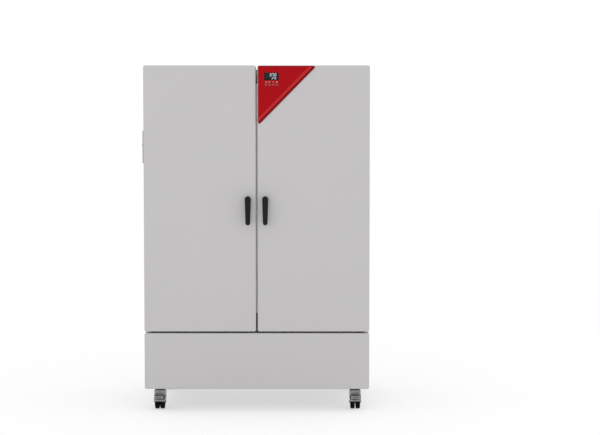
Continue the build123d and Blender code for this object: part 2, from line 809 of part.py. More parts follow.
def rear_cover():
    """Shallow pan with stiffening beads above and louvres over the machine compartment."""
    half = casing_half - rear_cover_inset
    y = (casing_rear, cabinet_depth / 2)
    z = (floor_clearance + rear_cover_inset, casing_top - rear_cover_inset)
    cover = rounded(block(around(0, half), y, z), Axis.Y, corner_round)
    inside_z = (z[0] + steel_sheet, z[1] - steel_sheet)
    inside = block(around(0, half - steel_sheet), (y[0] - PAST, y[1] - steel_sheet), inside_z)
    cover -= rounded(inside, Axis.Y, corner_round - steel_sheet)
    wall = (y[1] - 2 * steel_sheet, y[1] + PAST)
    for row in range(louvre_rows):
        slot_z = floor_clearance + louvre_rise + row * louvre_pitch
        for x in (-condenser_x, condenser_x):
            slot = block(around(x, louvre_width / 2), wall, (slot_z, slot_z + louvre_height))
            hood = Pos(x, y[1] - steel_sheet / 2, slot_z + louvre_height) * Rot(louvre_tilt, 0, 0)
            hood *= Pos(0, 0, -louvre_height / 2) * Box(louvre_width, steel_sheet, louvre_height)
            cover = cover - slot + hood
    bead_z = (chamber_floor + bead_inset, chamber_ceiling - bead_inset)
    for x in (-condenser_x, condenser_x):
        bead = block(around(x, bead_width / 2), (y[1] - steel_sheet, y[1] + bead_height), bead_z)
        cover += fillet(bead.faces().sort_by(Axis.Y)[-1].edges(), 0.95 * bead_height)
    return cover - power_inlet_space(touch)


def power_inlet_space(clearance):
    """Space of the inlet's body, grown by a clearance."""
    half_x = inlet_width / 2 + inlet_wall + clearance
    half_z = inlet_height / 2 + inlet_wall + clearance
    back = cabinet_depth / 2
    depth = (back - inlet_depth - clearance, back + clearance)
    return block(around(inlet_x, half_x), depth, around(inlet_z, half_z))


def power_inlet():
    """Appliance inlet: a recessed socket with three flat pins in a screwed flange."""
    back = cabinet_depth / 2
    flange_x = around(inlet_x, inlet_flange_width / 2)
    flange_z = around(inlet_z, inlet_height / 2 + inlet_wall + PAST)
    flange = block(flange_x, (back, back + inlet_wall), flange_z)
    body = power_inlet_space(0) + rounded(flange, Axis.Y, inlet_wall)
    socket_y = (back - inlet_depth + inlet_wall, back + inlet_wall + PAST)
    body -= block(around(inlet_x, inlet_width / 2), socket_y, around(inlet_z, inlet_height / 2))
    pin_y = (socket_y[0] - PAST, back - PAST)
    outer_z = -inlet_pin_drop
    for x, z in ((-inlet_pin_pitch, outer_z), (0, inlet_earth_rise), (inlet_pin_pitch, outer_z)):
        body += block(around(inlet_x + x, inlet_pin / 2), pin_y, around(inlet_z + z, inlet_pin))
    return body


def air_baffle():
    """Perforated sheet in front of the plenum, open in the middle to the fan."""
    size_z = (chamber_floor + touch, chamber_ceiling - touch)
    baffle = block(around(0, chamber_half - touch), (baffle_front, plenum_front), size_z)
    baffle = rounded(baffle, Axis.Y, liner_round)
    half_slot = slot_height / 2
    rows = int((chamber_height - 2 * slot_pitch) / slot_pitch)
    for x in (-slot_column, slot_column):
        for row in range(rows):
            z = chamber_floor + 1.5 * slot_pitch + row * slot_pitch
            baffle -= block(around(x, slot_length / 2), around(baffle_front, REACH / 5), around(z, half_slot))
    for number in range(grille_slots):
        offset = (number - (grille_slots - 1) / 2) * grille_pitch
        half = math.sqrt((fan_diameter / 2) ** 2 - offset**2) - slot_height
        baffle -= block(around(0, half), around(baffle_front, REACH / 5), around(fan_z + offset, half_slot))
    return baffle


def fan(diameter, hub_diameter, hub_length, bore):
    """Axial fan along Z with twisted blades, its hub between zero and the hub length."""
    hub = rod_along_z(hub_diameter / 2, 0, 0, (0, hub_length))
    hub = fillet(hub.faces().sort_by(Axis.Z)[-1].edges(), hub_length / 6)
    root = (hub_diameter / 2 - blade_sink, blade_root_chord, blade_root_pitch)
    tip = (diameter / 2, diameter * blade_tip_chord, blade_tip_pitch)
    sections = []
    for radius, chord, pitch in (root, tip):
        plane = Plane(origin=(radius, 0, hub_length / 2), x_dir=(0, 1, 0), z_dir=(1, 0, 0))
        sections.append(plane * Rot(0, 0, pitch) * Rectangle(chord, blade_thickness))
    blade = loft(sections)
    rotor = hub
    for number in range(fan_blades):
        rotor += Rot(0, 0, number * 360 / fan_blades) * blade
    return rotor - rod_along_z(bore, 0, 0, (-PAST, hub_length + PAST))


def fan_in_place(rotor, x, hub_front, z):
    """Turns a fan to face the front, with its hub starting at a given place."""
    return Pos(x, hub_front, z) * Rot(-90, 0, 0) * rotor


def fan_motor():
    can = rod_along_y(motor_diameter / 2, 0, (plenum_back - motor_length, plenum_back), fan_z)
    can = fillet(can.faces().sort_by(Axis.Y)[0].edges(), motor_round)
    shaft_y = (fan_front - shaft_overrun, plenum_back - motor_length + PAST)
    can += rod_along_y(fan_shaft_diameter / 2, 0, shaft_y, fan_z)
    foot_y = (plenum_back - motor_foot_thickness, plenum_back)
    return can + block(around(0, motor_foot_width / 2), foot_y, around(fan_z, motor_foot_height / 2))


def heater_coil():
    """Ring heater round the fan, with two legs to the back wall."""
    y = fan_front + fan_hub_length / 2
    ring = Pos(0, y, fan_z) * Rot(90, 0, 0) * Torus(heater_diameter / 2, heater_rod / 2)
    for side in (-1, 1):
        x = side * heater_diameter / 2
        ring += rod_along_y(heater_sleeve / 2, x, (y, plenum_back), fan_z)
    return ring


def evaporator_coil():
    """Fin pack on the back wall, its return bends, and the two tubes down to the machine compartment."""
    y = (plenum_back - evaporator_depth, plenum_back)
    z = (chamber_floor + evaporator_rise, chamber_floor + evaporator_rise + evaporator_height)
    pack = block(around(0, evaporator_width / 2), y, z)
    pitch = evaporator_width / evaporator_fins
    slit_y = (y[0] - PAST, y[0] + slit_depth)
    slit_z = (z[0] - PAST, z[1] + PAST)
    for number in range(1, evaporator_fins):
        x = -evaporator_width / 2 + number * pitch
        pack -= block(around(x, pitch / 3), slit_y, slit_z)
    bend_pitch = evaporator_height / evaporator_bends
    ring = Rot(90, 0, 0) * Torus(bend_pitch / 4, tube_diameter / 2)
    beside = block((evaporator_width / 2, evaporator_width), around(tube_y(), REACH), z)
    for number in range(evaporator_bends):
        bend = Pos(evaporator_width / 2, tube_y(), z[0] + (number + 1 / 2) * bend_pitch) * ring
        pack += bend & beside
    suction_x, liquid_x = evaporator_tubes_x()
    start_x = -evaporator_width / 2 + PAST
    suction_top, liquid_top = z[0] + evaporator_height / 3, z[0] + evaporator_height * 2 / 3
    suction = [(start_x, tube_y(), suction_top), (suction_x, tube_y(), suction_top)]
    suction += [(suction_x, tube_y(), suction_z), (compressor_x, tube_y(), suction_z)]
    suction += [(compressor_x, compressor_y + compressor_diameter / 2 + stub_length, suction_z)]
    liquid_y = condenser_y + condenser_depth - tube_diameter
    liquid = [(start_x, tube_y(), liquid_top), (liquid_x, tube_y(), liquid_top)]
    liquid += [(liquid_x, tube_y(), liquid_z), (liquid_x, liquid_y, liquid_z)]
    liquid += [(condenser_x - condenser_width / 2, liquid_y, liquid_z)]
    return pack + pipe(suction) + pipe(liquid)


def pipe(points):
    """Tube along straight runs with bends."""
    path = FilletPolyline(*points, radius=tube_diameter)
    section = Plane(origin=path @ 0, z_dir=path % 0) * Circle(tube_diameter / 2)
    return sweep(section, path=path)


def compressor():
    """Hermetic compressor on three rubber feet, with its terminal cover."""
    radius = compressor_diameter / 2
    z = (tray_top + compressor_feet, tray_top + compressor_feet + compressor_height)
    can = rod_along_z(radius, compressor_x, compressor_y, z)
    can = fillet(can.faces().sort_by(Axis.Z)[-1].edges(), radius * 0.6)
    can = fillet(can.faces().sort_by(Axis.Z)[0].edges(), radius * 0.3)
    middle = sum(z) / 2
    seam_z = around(middle, compressor_seam_height / 2)
    can += rod_along_z(radius + compressor_seam, compressor_x, compressor_y, seam_z)
    plate_z = around(z[0], compressor_plate / 2)
    can += rod_along_z(radius * compressor_plate_share, compressor_x, compressor_y, plate_z)
    for turn in (90, 210, 330):
        x = compressor_x + radius * math.cos(math.radians(turn))
        y = compressor_y + radius * math.sin(math.radians(turn))
        can += rod_along_z(compressor_foot_diameter / 2, x, y, (tray_top, z[0]))
    face_y = compressor_y - radius
    cover_y = (face_y - terminal_depth, face_y + terminal_depth / 4)
    cover_z = around(middle + terminal_rise, terminal_height / 2)
    can += block(around(compressor_x, terminal_width / 2), cover_y, cover_z)
    stub_y = (compressor_y + radius - tube_diameter, compressor_y + radius + stub_length)
    can += rod_along_y(tube_diameter / 2 + stub_wall, compressor_x, stub_y, suction_z)
    bend_x = compressor_x + radius + 4 * stub_length
    discharge_y = condenser_y + 1.5 * tube_diameter
    discharge = [(compressor_x + radius - stub_length / 2, compressor_y, discharge_z)]
    discharge += [(bend_x, compressor_y, discharge_z), (bend_x, discharge_y, discharge_z)]
    discharge += [(condenser_x - condenser_width / 2, discharge_y, discharge_z)]
    return can + pipe(discharge)


def condenser():
    """Finned condenser with its fan shroud, and the fan motor on four struts."""
    y = (condenser_y, condenser_y + condenser_depth)
    z = (tray_top, tray_top + condenser_height)
    x = around(condenser_x, condenser_width / 2)
    pack = block(x, y, z)
    pitch = condenser_width / condenser_fins
    slit_y = (y[0] - PAST, y[0] + slit_depth)
    slit_z = (z[0] + tube_diameter, z[1] - tube_diameter)
    for number in range(1, condenser_fins):
        pack -= block(around(x[0] + number * pitch, pitch / 3), slit_y, slit_z)
    fan_middle = (z[0] + z[1]) / 2
    shroud_back = y[1] + shroud_depth
    shroud = block(x, (y[1], shroud_back), z)
    inner_x = (x[0] + steel_sheet, x[1] - steel_sheet)
    inner_z = (z[0] + steel_sheet, z[1] - steel_sheet)
    shroud -= block(inner_x, (y[1] - PAST, shroud_back - steel_sheet), inner_z)
    ring = condenser_fan_diameter / 2 + fan_tip_clearance
    shroud -= rod_along_y(ring, condenser_x, around(shroud_back, 2 * steel_sheet), fan_middle)
    motor_front = shroud_back + condenser_motor_gap
    motor_radius = condenser_motor_diameter / 2
    motor = rod_along_y(motor_radius, condenser_x, (motor_front, motor_front + motor_radius), fan_middle)
    motor = fillet(motor.faces().sort_by(Axis.Y)[-1].edges(), casing_round)
    shaft_y = (condenser_fan_front() - PAST, motor_front + PAST)
    motor += rod_along_y(fan_shaft_diameter / 2, condenser_x, shaft_y, fan_middle)
    strut_half = condenser_strut / 2
    strut_x = ring + 2 * condenser_strut
    for side in (-1, 1):
        arm_x = condenser_x + side * strut_x
        arm_y = (shroud_back, motor_front + condenser_strut)
        motor += block(around(arm_x, strut_half), arm_y, around(fan_middle, strut_half))
        span = sorted((condenser_x + side * (motor_radius - PAST), arm_x))
        motor += block(span, (motor_front, motor_front + condenser_strut), around(fan_middle, strut_half))
    return Compound(children=[(pack + shroud).solid(), motor.solid()])


def condenser_fan_front():
    """Front of the fan's hub, just inside the shroud."""
    return condenser_y + condenser_depth + condenser_fan_gap


def channel(length):
    """Rail of bent sheet along X, open towards plus Y, its outer corner at the origin."""
    rail = block((0, length), (0, rail_width), (0, rail_height))
    inside_y = (rail_sheet, rail_width + PAST)
    return rail - block((-PAST, length + PAST), inside_y, (rail_sheet, rail_height - rail_sheet))


def base_frame():
    """Welded rails with cross rails over the castors and the floor of the machine compartment."""
    half = casing_half - steel_sheet
    y = (frame_front + steel_sheet, casing_rear)
    span = y[1] - y[0]
    rails = Pos(-half, y[0], floor_clearance) * channel(2 * half)
    rails += Pos(half, y[1], floor_clearance) * Rot(0, 0, 180) * channel(2 * half)
    rails += Pos(half, y[0], floor_clearance) * Rot(0, 0, 90) * channel(span)
    rails += Pos(-half, y[1], floor_clearance) * Rot(0, 0, -90) * channel(span)
    for middle in castor_y.values():
        rail_z = (floor_clearance, tray_top - tray_sheet)
        rail = block(around(0, half), around(middle, cross_rail_width / 2), rail_z)
        hollow_x = around(0, half - rail_width)
        hollow_z = (floor_clearance + rail_sheet, tray_top)
        rail -= block(hollow_x, around(middle, cross_rail_width / 2 - rail_sheet), hollow_z)
        rails += rail
    return rails + block(around(0, half), y, (tray_top - tray_sheet, tray_top))


def base_front_panel():
    x = (-half_width, half_width)
    z = (floor_clearance, base_top)
    panel = pan_form(x, z, 0) - pan_form(x, z, steel_sheet)
    # The walls run on to the front frame, where the panel is fixed.
    ledge_y = (door_rear, frame_front)
    ledge_x = around(0, casing_half - rail_width)
    for limits in ((z[0], z[0] + steel_sheet), (z[1] - steel_sheet, z[1])):
        panel += block(ledge_x, ledge_y, limits)
        panel += block(ledge_x, (door_rear - PAST, door_rear), limits)
    leg_half = hinge_bracket_width / 2 + stud_clearance
    for side in (-1, 1):
        leg_z = (base_top - 2 * steel_sheet, base_top + PAST)
        panel -= block(around(side * pivot_x, leg_half), (door_rear - PAST, frame_front + PAST), leg_z)
    return panel


# Hinges, catches and glass door pivots on the front frame
def lower_hinge():
    """Angle under the door with its pin, leaving the gap below the door."""
    z = (door_bottom - hinge_gap - hinge_plate, door_bottom - hinge_gap)
    half = hinge_bracket_width / 2
    plate = block(around(pivot_x, half), (pivot_y, frame_front), z)
    plate += rod_along_z(half, pivot_x, pivot_y, z)
    leg_x = (pivot_x - half, casing_half - PAST)
    leg = block(leg_x, (frame_front - hinge_plate, frame_front), (z[1] - hinge_leg_height, z[1]))
    radius = hinge_pin_diameter / 2
    pin = rod_along_z(radius, pivot_x, pivot_y, (z[0], door_bottom + hinge_bush_length - hinge_pin_gap))
    collar = rod_along_z(radius + hinge_collar, pivot_x, pivot_y, (z[1], door_bottom - touch))
    return plate + leg + pin + collar


def upper_hinge():
    """Arm on the housing top that reaches into the channel in the door top, with its pin."""
    z = (casing_top, casing_top + hinge_plate)
    half = hinge_arm_width / 2
    arm = block(around(pivot_x, half), (pivot_y, frame_front + hinge_arm_reach), z)
    arm += rod_along_z(half, pivot_x, pivot_y, z)
    seat_x = (pivot_x - 3 * half, casing_half - casing_round)
    seat_y = (frame_front + hinge_seat_setback, frame_front + hinge_arm_reach)
    arm += block(seat_x, seat_y, z)
    for y in (seat_y[0] + hinge_screw_inset, seat_y[1] - hinge_screw_inset):
        arm += rod_along_z(hinge_screw_diameter / 2, pivot_x - 2 * half, y, (z[1], z[1] + hinge_screw_height))
    pin_z = (core_top - hinge_bush_length + hinge_pin_gap, z[1])
    return arm + rod_along_z(hinge_pin_diameter / 2, pivot_x, pivot_y, pin_z)


def hinge_brackets():
    right = [lower_hinge().solid(), upper_hinge().solid()]
    return Compound(children=right + [other_side(bracket).solid() for bracket in right])


def door_catch(web_z, pocket_z):
    """Catch for both doors: a strip across the middle and a cup for each lock stud at its ends."""
    y = (frame_front - catch_depth, frame_front)
    inner = rod_x - stud_diameter / 2 - stud_clearance - catch_wall
    outer = rod_x + stud_diameter / 2 + stud_clearance + catch_wall
    cup = block((inner, outer), y, (pocket_z[0] - catch_wall, pocket_z[1] + catch_wall))
    cup = rounded(cup, Axis.Y, catch_round)
    cup -= block((inner + catch_wall, outer - catch_wall), (y[0] - PAST, y[1] - catch_back), pocket_z)
    return [piece.solid() for piece in (block(around(0, inner), y, web_z), cup, other_side(cup))]


def door_catches():
    low = upper_pocket_low - catch_wall
    high = lower_pocket_high + catch_wall
    upper = door_catch((low, low + catch_web), (upper_pocket_low, upper_pocket_low + pocket_height))
    lower = door_catch((high - catch_web, high), (lower_pocket_high - pocket_height, lower_pocket_high))
    return Compound(children=upper + lower)


def glass_door_pivots():
    pivots = []
    for wall, inward in ((mouth_bottom, 1), (mouth_top, -1)):
        disc_z = sorted((wall, wall + inward * glass_edge))
        disc = rod_along_z(glass_pin_diameter, glass_pivot_x, glass_y, disc_z)
        pin_end = wall + inward * (glass_edge + glass_pin_length)
        disc += rod_along_z(glass_pin_diameter / 2, glass_pivot_x, glass_y, sorted((wall, pin_end)))
        pivots += [disc.solid(), other_side(disc).solid()]
    return Compound(children=pivots)


# Shelves
def shelf(level):
    """Wire shelf on its ledges: a rod frame, two cross rods and wires from front to back."""
    ledge = chamber_floor + ledge_first + (level - 1) * ledge_pitch
    radius = shelf_rod / 2
    z = ledge + touch + radius
    half = chamber_half - shelf_side_clearance - radius
    rear = baffle_front - ledge_rear_inset - shelf_rear_gap - radius
    y = (rear - shelf_depth + shelf_rod, rear)
    frame = rod_along_x(radius, (-half, half), y[0], z) + rod_along_x(radius, (-half, half), y[1], z)
    for side in (-1, 1):
        frame += rod_along_y(radius, side * half, y, z)
        for end in y:
            frame += Pos(side * half, end, z) * Sphere(radius)
    for share in (1 / 3, 2 / 3):
        frame += rod_along_x(radius, (-half, half), y[0] + share * (y[1] - y[0]), z)
    count = int(2 * half / shelf_wire_pitch)
    wire_radius = shelf_wire / 2
    for number in range(count):
        x = (number - (count - 1) / 2) * shelf_wire_pitch
        frame += rod_along_y(wire_radius, x, (y[0] - PAST, y[1] + PAST), z + radius - wire_radius / 2)
    return frame


# Left wall
def control_box_y():
    low = front + control_box_front
    return (low, low + control_box_width)


def switch_place():
    return sum(control_box_y()) / 2, control_box_bottom + switch_rise


def side_control_box():
    """Moulded box with a recess for the main switch, on two screwed ears."""
    y = control_box_y()
    z = (control_box_bottom, control_box_bottom + control_box_height)
    face = -casing_half - control_box_depth
    box = rounded(block((face, -casing_half), y, z), Axis.X, control_box_round)
    box = fillet(box.faces().sort_by(Axis.X)[0].edges(), control_box_edge)
    middle = sum(y) / 2
    ears_z = (z[0] - 2 * ear_height, z[1] + 2 * ear_height)
    ears = block((-casing_half - ear_thickness, -casing_half), around(middle, ear_width / 2), ears_z)
    box += rounded(ears, Axis.X, ear_width / 3)
    for screw_z in (z[0] - ear_height, z[1] + ear_height):
        dome_x = (-casing_half - ear_thickness - ear_screw_height, -casing_half - PAST)
        dome = rod_along_x(ear_screw_diameter / 2, dome_x, middle, screw_z)
        box += fillet(dome.faces().sort_by(Axis.X)[0].edges(), 0.9 * ear_screw_height)
    switch_y, switch_z = switch_place()
    half = switch_height / 2 + touch
    recess_x = (face - PAST, face + 2 * switch_pivot_depth)
    recess = block(recess_x, around(switch_y, switch_width / 2 + touch), around(switch_z, half))
    return box - recess


def main_switch():
    """Rocker with two flat faces and ends that turn within the recess, shown switched on."""
    face = -casing_half - control_box_depth
    y, z = switch_place()
    rocker_x = face + switch_pivot_depth
    radius = switch_height / 2
    tip = -switch_pivot_depth - radius * math.tan(math.radians(switch_rock))
    back = switch_pivot_depth / 2
    plane = Plane(origin=(rocker_x, y + switch_width / 2, z), x_dir=(1, 0, 0), z_dir=(0, -1, 0))
    outline = Polyline(
        (-switch_pivot_depth, 0), (tip, radius), (back, radius), (back, -radius), (tip, -radius),
        close=True,
    )
    form = make_face(outline) & Circle(radius)
    rocker = extrude(plane * form, amount=switch_width)
    return Pos(rocker_x, 0, z) * Rot(0, switch_rock, 0) * Pos(-rocker_x, 0, -z) * rocker


def access_port():
    """Tube through the left wall with a flange at each end."""
    z = chamber_floor + port_height
    radius = port_diameter / 2
    tube_x = (-casing_half - port_flange + PAST, -chamber_half + port_inner_flange)
    port = rod_along_x(radius + port_wall, tube_x, port_y, z)
    flange_x = (-casing_half - port_flange, -casing_half)
    outer_flange = rod_along_x(port_flange_diameter / 2, flange_x, port_y, z)
    port += fillet(outer_flange.faces().sort_by(Axis.X)[0].edges(), port_flange / 2)
    inner_x = (-chamber_half, -chamber_half + port_inner_flange)
    port += rod_along_x(port_inner_flange_diameter / 2, inner_x, port_y, z)
    return port - rod_along_x(radius, (-casing_half - REACH, -chamber_half + REACH), port_y, z)


def port_plug():
    """Silicone plug with a grip rim."""
    z = chamber_floor + port_height
    flange = -casing_half - port_flange - touch
    stem = rod_along_x(port_diameter / 2 - touch, (flange, -chamber_half - plug_setback), port_y, z)
    head = rod_along_x(plug_head_diameter / 2, (flange - plug_head_length, flange), port_y, z)
    head = fillet(head.faces().sort_by(Axis.X)[0].edges(), plug_round)
    groove_x = (flange - plug_groove_start - plug_groove, flange - plug_groove_start)
    groove = rod_along_x(plug_head_diameter, groove_x, port_y, z)
    groove -= rod_along_x(plug_head_diameter / 2 - plug_groove, groove_x, port_y, z)
    return head - groove + stem


# Small parts
def screw(x, z, back):
    head = rod_along_y(screw_head_diameter / 2, x, (back, back + screw_head_height), z)
    return fillet(head.faces().sort_by(Axis.Y)[-1].edges(), screw_head_height * 0.6).solid()


def cover_screws():
    """Screws round the rear cover."""
    back = cabinet_depth / 2
    half = casing_half - rear_cover_inset - screw_inset
    low = floor_clearance + rear_cover_inset + screw_inset
    high = casing_top - rear_cover_inset - screw_inset
    screws = []
    for step in range(screw_rows):
        z = low + step * (high - low) / (screw_rows - 1)
        screws += [screw(-half, z, back), screw(half, z, back)]
    return Compound(children=screws)


# Castors, each made over the floor at its swivel axis and then put in place
def castor_positions():
    for end, y in castor_y.items():
        for side, x in (("left", -castor_x), ("right", castor_x)):
            yield side + "_" + end, Pos(x, y, 0)


def castor_plates():
    plates = []
    for name, place in castor_positions():
        z = (floor_clearance - castor_plate, floor_clearance)
        plate = block(around(0, castor_plate_length / 2), around(0, castor_plate_width / 2), z)
        plate = rounded(plate, Axis.Z, castor_plate_round)
        hexagon = RegularPolygon(castor_bolt_radius, 6)
        for x in around(0, castor_bolt_across / 2):
            for y in around(0, castor_bolt_along / 2):
                seat = Pos(x, y, z[0] - castor_bolt_height)
                plate += extrude(seat * hexagon, amount=castor_bolt_height + PAST)
        plate -= rod_along_z(kingpin_diameter / 2 + running_fit, 0, 0, (z[0] - PAST, z[1] + PAST))
        plates.append((place * plate).solid())
    return Compound(children=plates)


def castor_fork(braked):
    """Pressed fork over the wheels, with its axle, swivel head and king pin."""
    axle_z = wheel_diameter / 2
    inner_half = wheel_width + wheel_gap / 2 + fork_side_gap
    outer_half = inner_half + fork_sheet
    hood_radius = wheel_diameter / 2 + wheel_clearance + fork_sheet
    head_top = floor_clearance - castor_plate - touch
    crown_top = head_top - swivel_height
    crown_low = axle_z + wheel_diameter / 4
    crown = Rectangle(castor_trail + 2 * swivel_radius, crown_top - crown_low)
    profile = Pos(-castor_trail, axle_z) * Circle(hood_radius)
    profile += Pos(-castor_trail / 2 + touch, (crown_top + crown_low) / 2) * crown
    profile = fillet(profile.vertices().group_by(Axis.Y)[-1], wheel_round)
    hood = extrude(Plane.YZ.offset(-outer_half) * profile, amount=2 * outer_half)
    below = block(around(0, REACH), around(-castor_trail, 2 * REACH), (-hood_radius, fork_skirt))
    lug = Pos(-castor_trail, axle_z) * Circle(axle_diameter)
    lug += Pos(-castor_trail, (axle_z + fork_skirt) / 2) * Rectangle(2 * axle_diameter, fork_skirt - axle_z)
    hood -= below
    hood = fillet(hood.faces().sort_by(Axis.Z)[-1].edges().filter_by(Axis.Y), fork_round)
    hood += extrude(Plane.YZ.offset(-outer_half) * lug, amount=2 * outer_half)
    if braked:
        hood += pedal_ears()
    cavity_radius = wheel_diameter / 2 + wheel_clearance
    hood -= rod_along_x(cavity_radius, around(0, inner_half), -castor_trail, axle_z)
    hood -= block(around(0, inner_half), around(-castor_trail, cavity_radius), (-PAST, axle_z))
    cap_x = outer_half + axle_cap
    hood += rod_along_x(axle_diameter / 2, around(0, cap_x), -castor_trail, axle_z)
    for side in (-1, 1):
        cap = sorted((side * outer_half, side * cap_x))
        hood += rod_along_x(axle_cap_diameter / 2, cap, -castor_trail, axle_z)
    hood += rod_along_z(swivel_radius, 0, 0, (crown_top - PAST, head_top))
    return hood + rod_along_z(kingpin_diameter / 2, 0, 0, (crown_top, floor_clearance - touch))


def pedal_pivot():
    """Pivot of the brake pedal, in front of the fork: y and z."""
    return -castor_trail - wheel_diameter / 2 - pedal_pivot_gap, wheel_diameter + pedal_pivot_rise


def pedal_ears():
    y, z = pedal_pivot()
    ears = rod_along_x(pedal_pin_diameter / 2, around(0, pedal_pin_length / 2), y, z)
    ear_y = (y - pedal_ear_front, -castor_trail - wheel_round)
    for x in around(0, pedal_ear_offset):
        ears += block(around(x, pedal_ear_thickness / 2), ear_y, around(z, pedal_ear_height / 2))
    return ears


def brake_pedal():
    """Foot plate with a barrel on the fork's pivot and a turned-down front edge."""
    y, z = pedal_pivot()
    half = pedal_ear_offset - pedal_ear_thickness / 2 - touch
    barrel = rod_along_x(pedal_barrel_diameter / 2, around(0, half), y, z)
    top = z + pedal_plate_rise
    plate_z = (top - pedal_plate, top)
    plate_y = (y - pedal_reach, y - pedal_plate_gap)
    barrel += block(around(0, half), (plate_y[1] - PAST, y), plate_z)
    plate = block(around(0, pedal_width / 2), plate_y, plate_z)
    lip_low = z - pedal_lip_drop
    plate += block(around(0, pedal_width / 2), (plate_y[0], plate_y[0] + pedal_lip), (lip_low, top))
    slot_x = around(0, pedal_width / 2 - pedal_slot_inset)
    slot_z = (lip_low + pedal_slot_height, lip_low + 2 * pedal_slot_height)
    plate -= block(slot_x, (plate_y[0] - PAST, plate_y[0] + pedal_lip + PAST), slot_z)
    pin = pedal_pin_diameter / 2 + running_fit
    return barrel + plate - rod_along_x(pin, around(0, REACH), y, z)


def castor_wheels():
    """Two wheels joined by a sleeve, turning on the axle."""
    radius = wheel_diameter / 2
    inner = wheel_gap / 2
    profile = Pos(inner + wheel_width / 2, radius / 2) * Rectangle(wheel_width, radius)
    profile = fillet(profile.vertices().group_by(Axis.Y)[-1], wheel_round)
    recess = Rectangle(2 * wheel_recess_width, wheel_recess_height)
    profile -= Pos(inner + wheel_width, wheel_recess_middle) * recess
    wheel = revolve(profile, axis=Axis.X)
    pair = wheel + other_side(wheel) + rod_along_x(axle_diameter, around(0, inner + PAST), 0, 0)
    pair -= rod_along_x(axle_diameter / 2 + running_fit, around(0, REACH), 0, 0)
    return Pos(0, -castor_trail, radius) * pair


parts = {
    "outer_casing": outer_casing(),
    "rear_cover": rear_cover(),
    "insulation_foam": insulation_foam(),
    "chamber_liner": chamber_liner(),
    "air_baffle": air_baffle(),
    "evaporator_coil": evaporator_coil(),
    "heater_coil": heater_coil(),
    "fan_motor": fan_motor(),
    "base_frame": base_frame(),
    "base_front_panel": base_front_panel(),
    "compressor": compressor(),
    "condenser": condenser(),
    "power_inlet": power_inlet(),
    "door_catches": door_catches(),
    "hinge_brackets": hinge_brackets(),
    "glass_door_pivots": glass_door_pivots(),
    "side_control_box": side_control_box(),
    "main_switch": main_switch(),
    "access_port": access_port(),
    "port_plug": port_plug(),
    "cover_screws": cover_screws(),
    "castor_plates": castor_plates(),
    "control_fascia": control_fascia(),
    "display_window": display_window(),
}

fan_bore = fan_shaft_diameter / 2 + running_fit
circulation_fan = fan(fan_diameter, fan_hub_diameter, fan_hub_length, fan_bore)
parts["circulation_fan"] = fan_in_place(circulation_fan, 0, fan_front, fan_z)
condenser_fan = fan(condenser_fan_diameter, fan_hub_diameter, condenser_fan_hub_length, fan_bore)
condenser_fan_z = tray_top + condenser_height / 2
parts["condenser_fan"] = fan_in_place(condenser_fan, condenser_x, condenser_fan_front(), condenser_fan_z)

for name, level in zip(("lower_shelf", "upper_shelf"), shelf_levels):
    parts[name] = shelf(level)

for number in range(key_count):
    parts[f"key_{number + 1}"] = key(number)

door_pieces = (door_skin, door_liner, door_foam, door_gasket, lock_pinion, lock_rod, handle)
for make in door_pieces + (glass_door, glass_fittings):
    piece = make()
    parts["right_" + make.__name__] = piece
    parts["left_" + make.__name__] = other_side(piece)

for name, place in castor_positions():
    braked = name.endswith("front")
    parts[name + "_fork"] = place * castor_fork(braked)
    parts[name + "_wheels"] = place * castor_wheels()
    if braked:
        parts[name + "_brake_pedal"] = place * brake_pedal()

os.makedirs("parts", exist_ok=True)
for name, piece in parts.items():
    export_step(piece, f"parts/{name}.step")
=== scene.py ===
import math

import bmesh
import bpy
from bpy.props import FloatProperty, FloatVectorProperty, IntProperty, PointerProperty
from bpy.types import Operator, Panel, PropertyGroup
from mathutils import Matrix, Vector


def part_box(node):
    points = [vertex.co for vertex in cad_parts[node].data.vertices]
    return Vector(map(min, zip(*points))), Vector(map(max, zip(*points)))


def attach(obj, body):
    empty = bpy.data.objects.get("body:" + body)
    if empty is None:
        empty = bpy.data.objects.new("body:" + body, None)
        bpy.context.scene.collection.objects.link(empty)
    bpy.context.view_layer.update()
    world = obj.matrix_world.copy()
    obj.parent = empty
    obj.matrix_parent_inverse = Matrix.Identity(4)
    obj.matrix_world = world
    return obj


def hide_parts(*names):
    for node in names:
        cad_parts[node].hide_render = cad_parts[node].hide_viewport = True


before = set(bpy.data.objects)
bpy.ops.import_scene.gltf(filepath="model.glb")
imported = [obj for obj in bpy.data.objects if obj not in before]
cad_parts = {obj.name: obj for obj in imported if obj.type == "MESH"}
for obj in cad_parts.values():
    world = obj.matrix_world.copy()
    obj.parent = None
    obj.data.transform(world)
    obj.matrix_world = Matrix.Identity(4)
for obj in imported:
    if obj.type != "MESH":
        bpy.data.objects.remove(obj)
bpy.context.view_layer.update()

bl_info = {
    "name": "Cooling incubator",
    "version": (1, 0, 0),
    "blender": (4, 5, 0),
    "location": "3D View > Sidebar > Incubator",
    "description": "Finishes and detailed pieces of a two-door cooling incubator",
    "category": "Object",
}

# Lengths in metres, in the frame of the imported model.
DOORS = ("left", "right")
CASTORS = ("left_front", "right_front", "left_rear", "right_rear")
CREASE = math.radians(32)
MERGE = 1e-6
AXLE_BORE = 0.0042
BLACK = (0.0, 0.0, 0.0)
WHITE = (1.0, 1.0, 1.0)


def srgb(red, green, blue):
    """Linear colour of a screen colour given from 0 to 255."""

    def linear(value):
        share = value / 255
        return share / 12.92 if share <= 0.04045 else ((share + 0.055) / 1.055) ** 2.4

    return tuple(linear(value) for value in (red, green, blue))


def colour_property(name, description, default):
    return FloatVectorProperty(
        name=name, description=description, default=default, subtype="COLOR", size=3, min=0, max=1
    )


def length_property(name, description, default):
    return FloatProperty(name=name, description=description, default=default, unit="LENGTH", min=0)


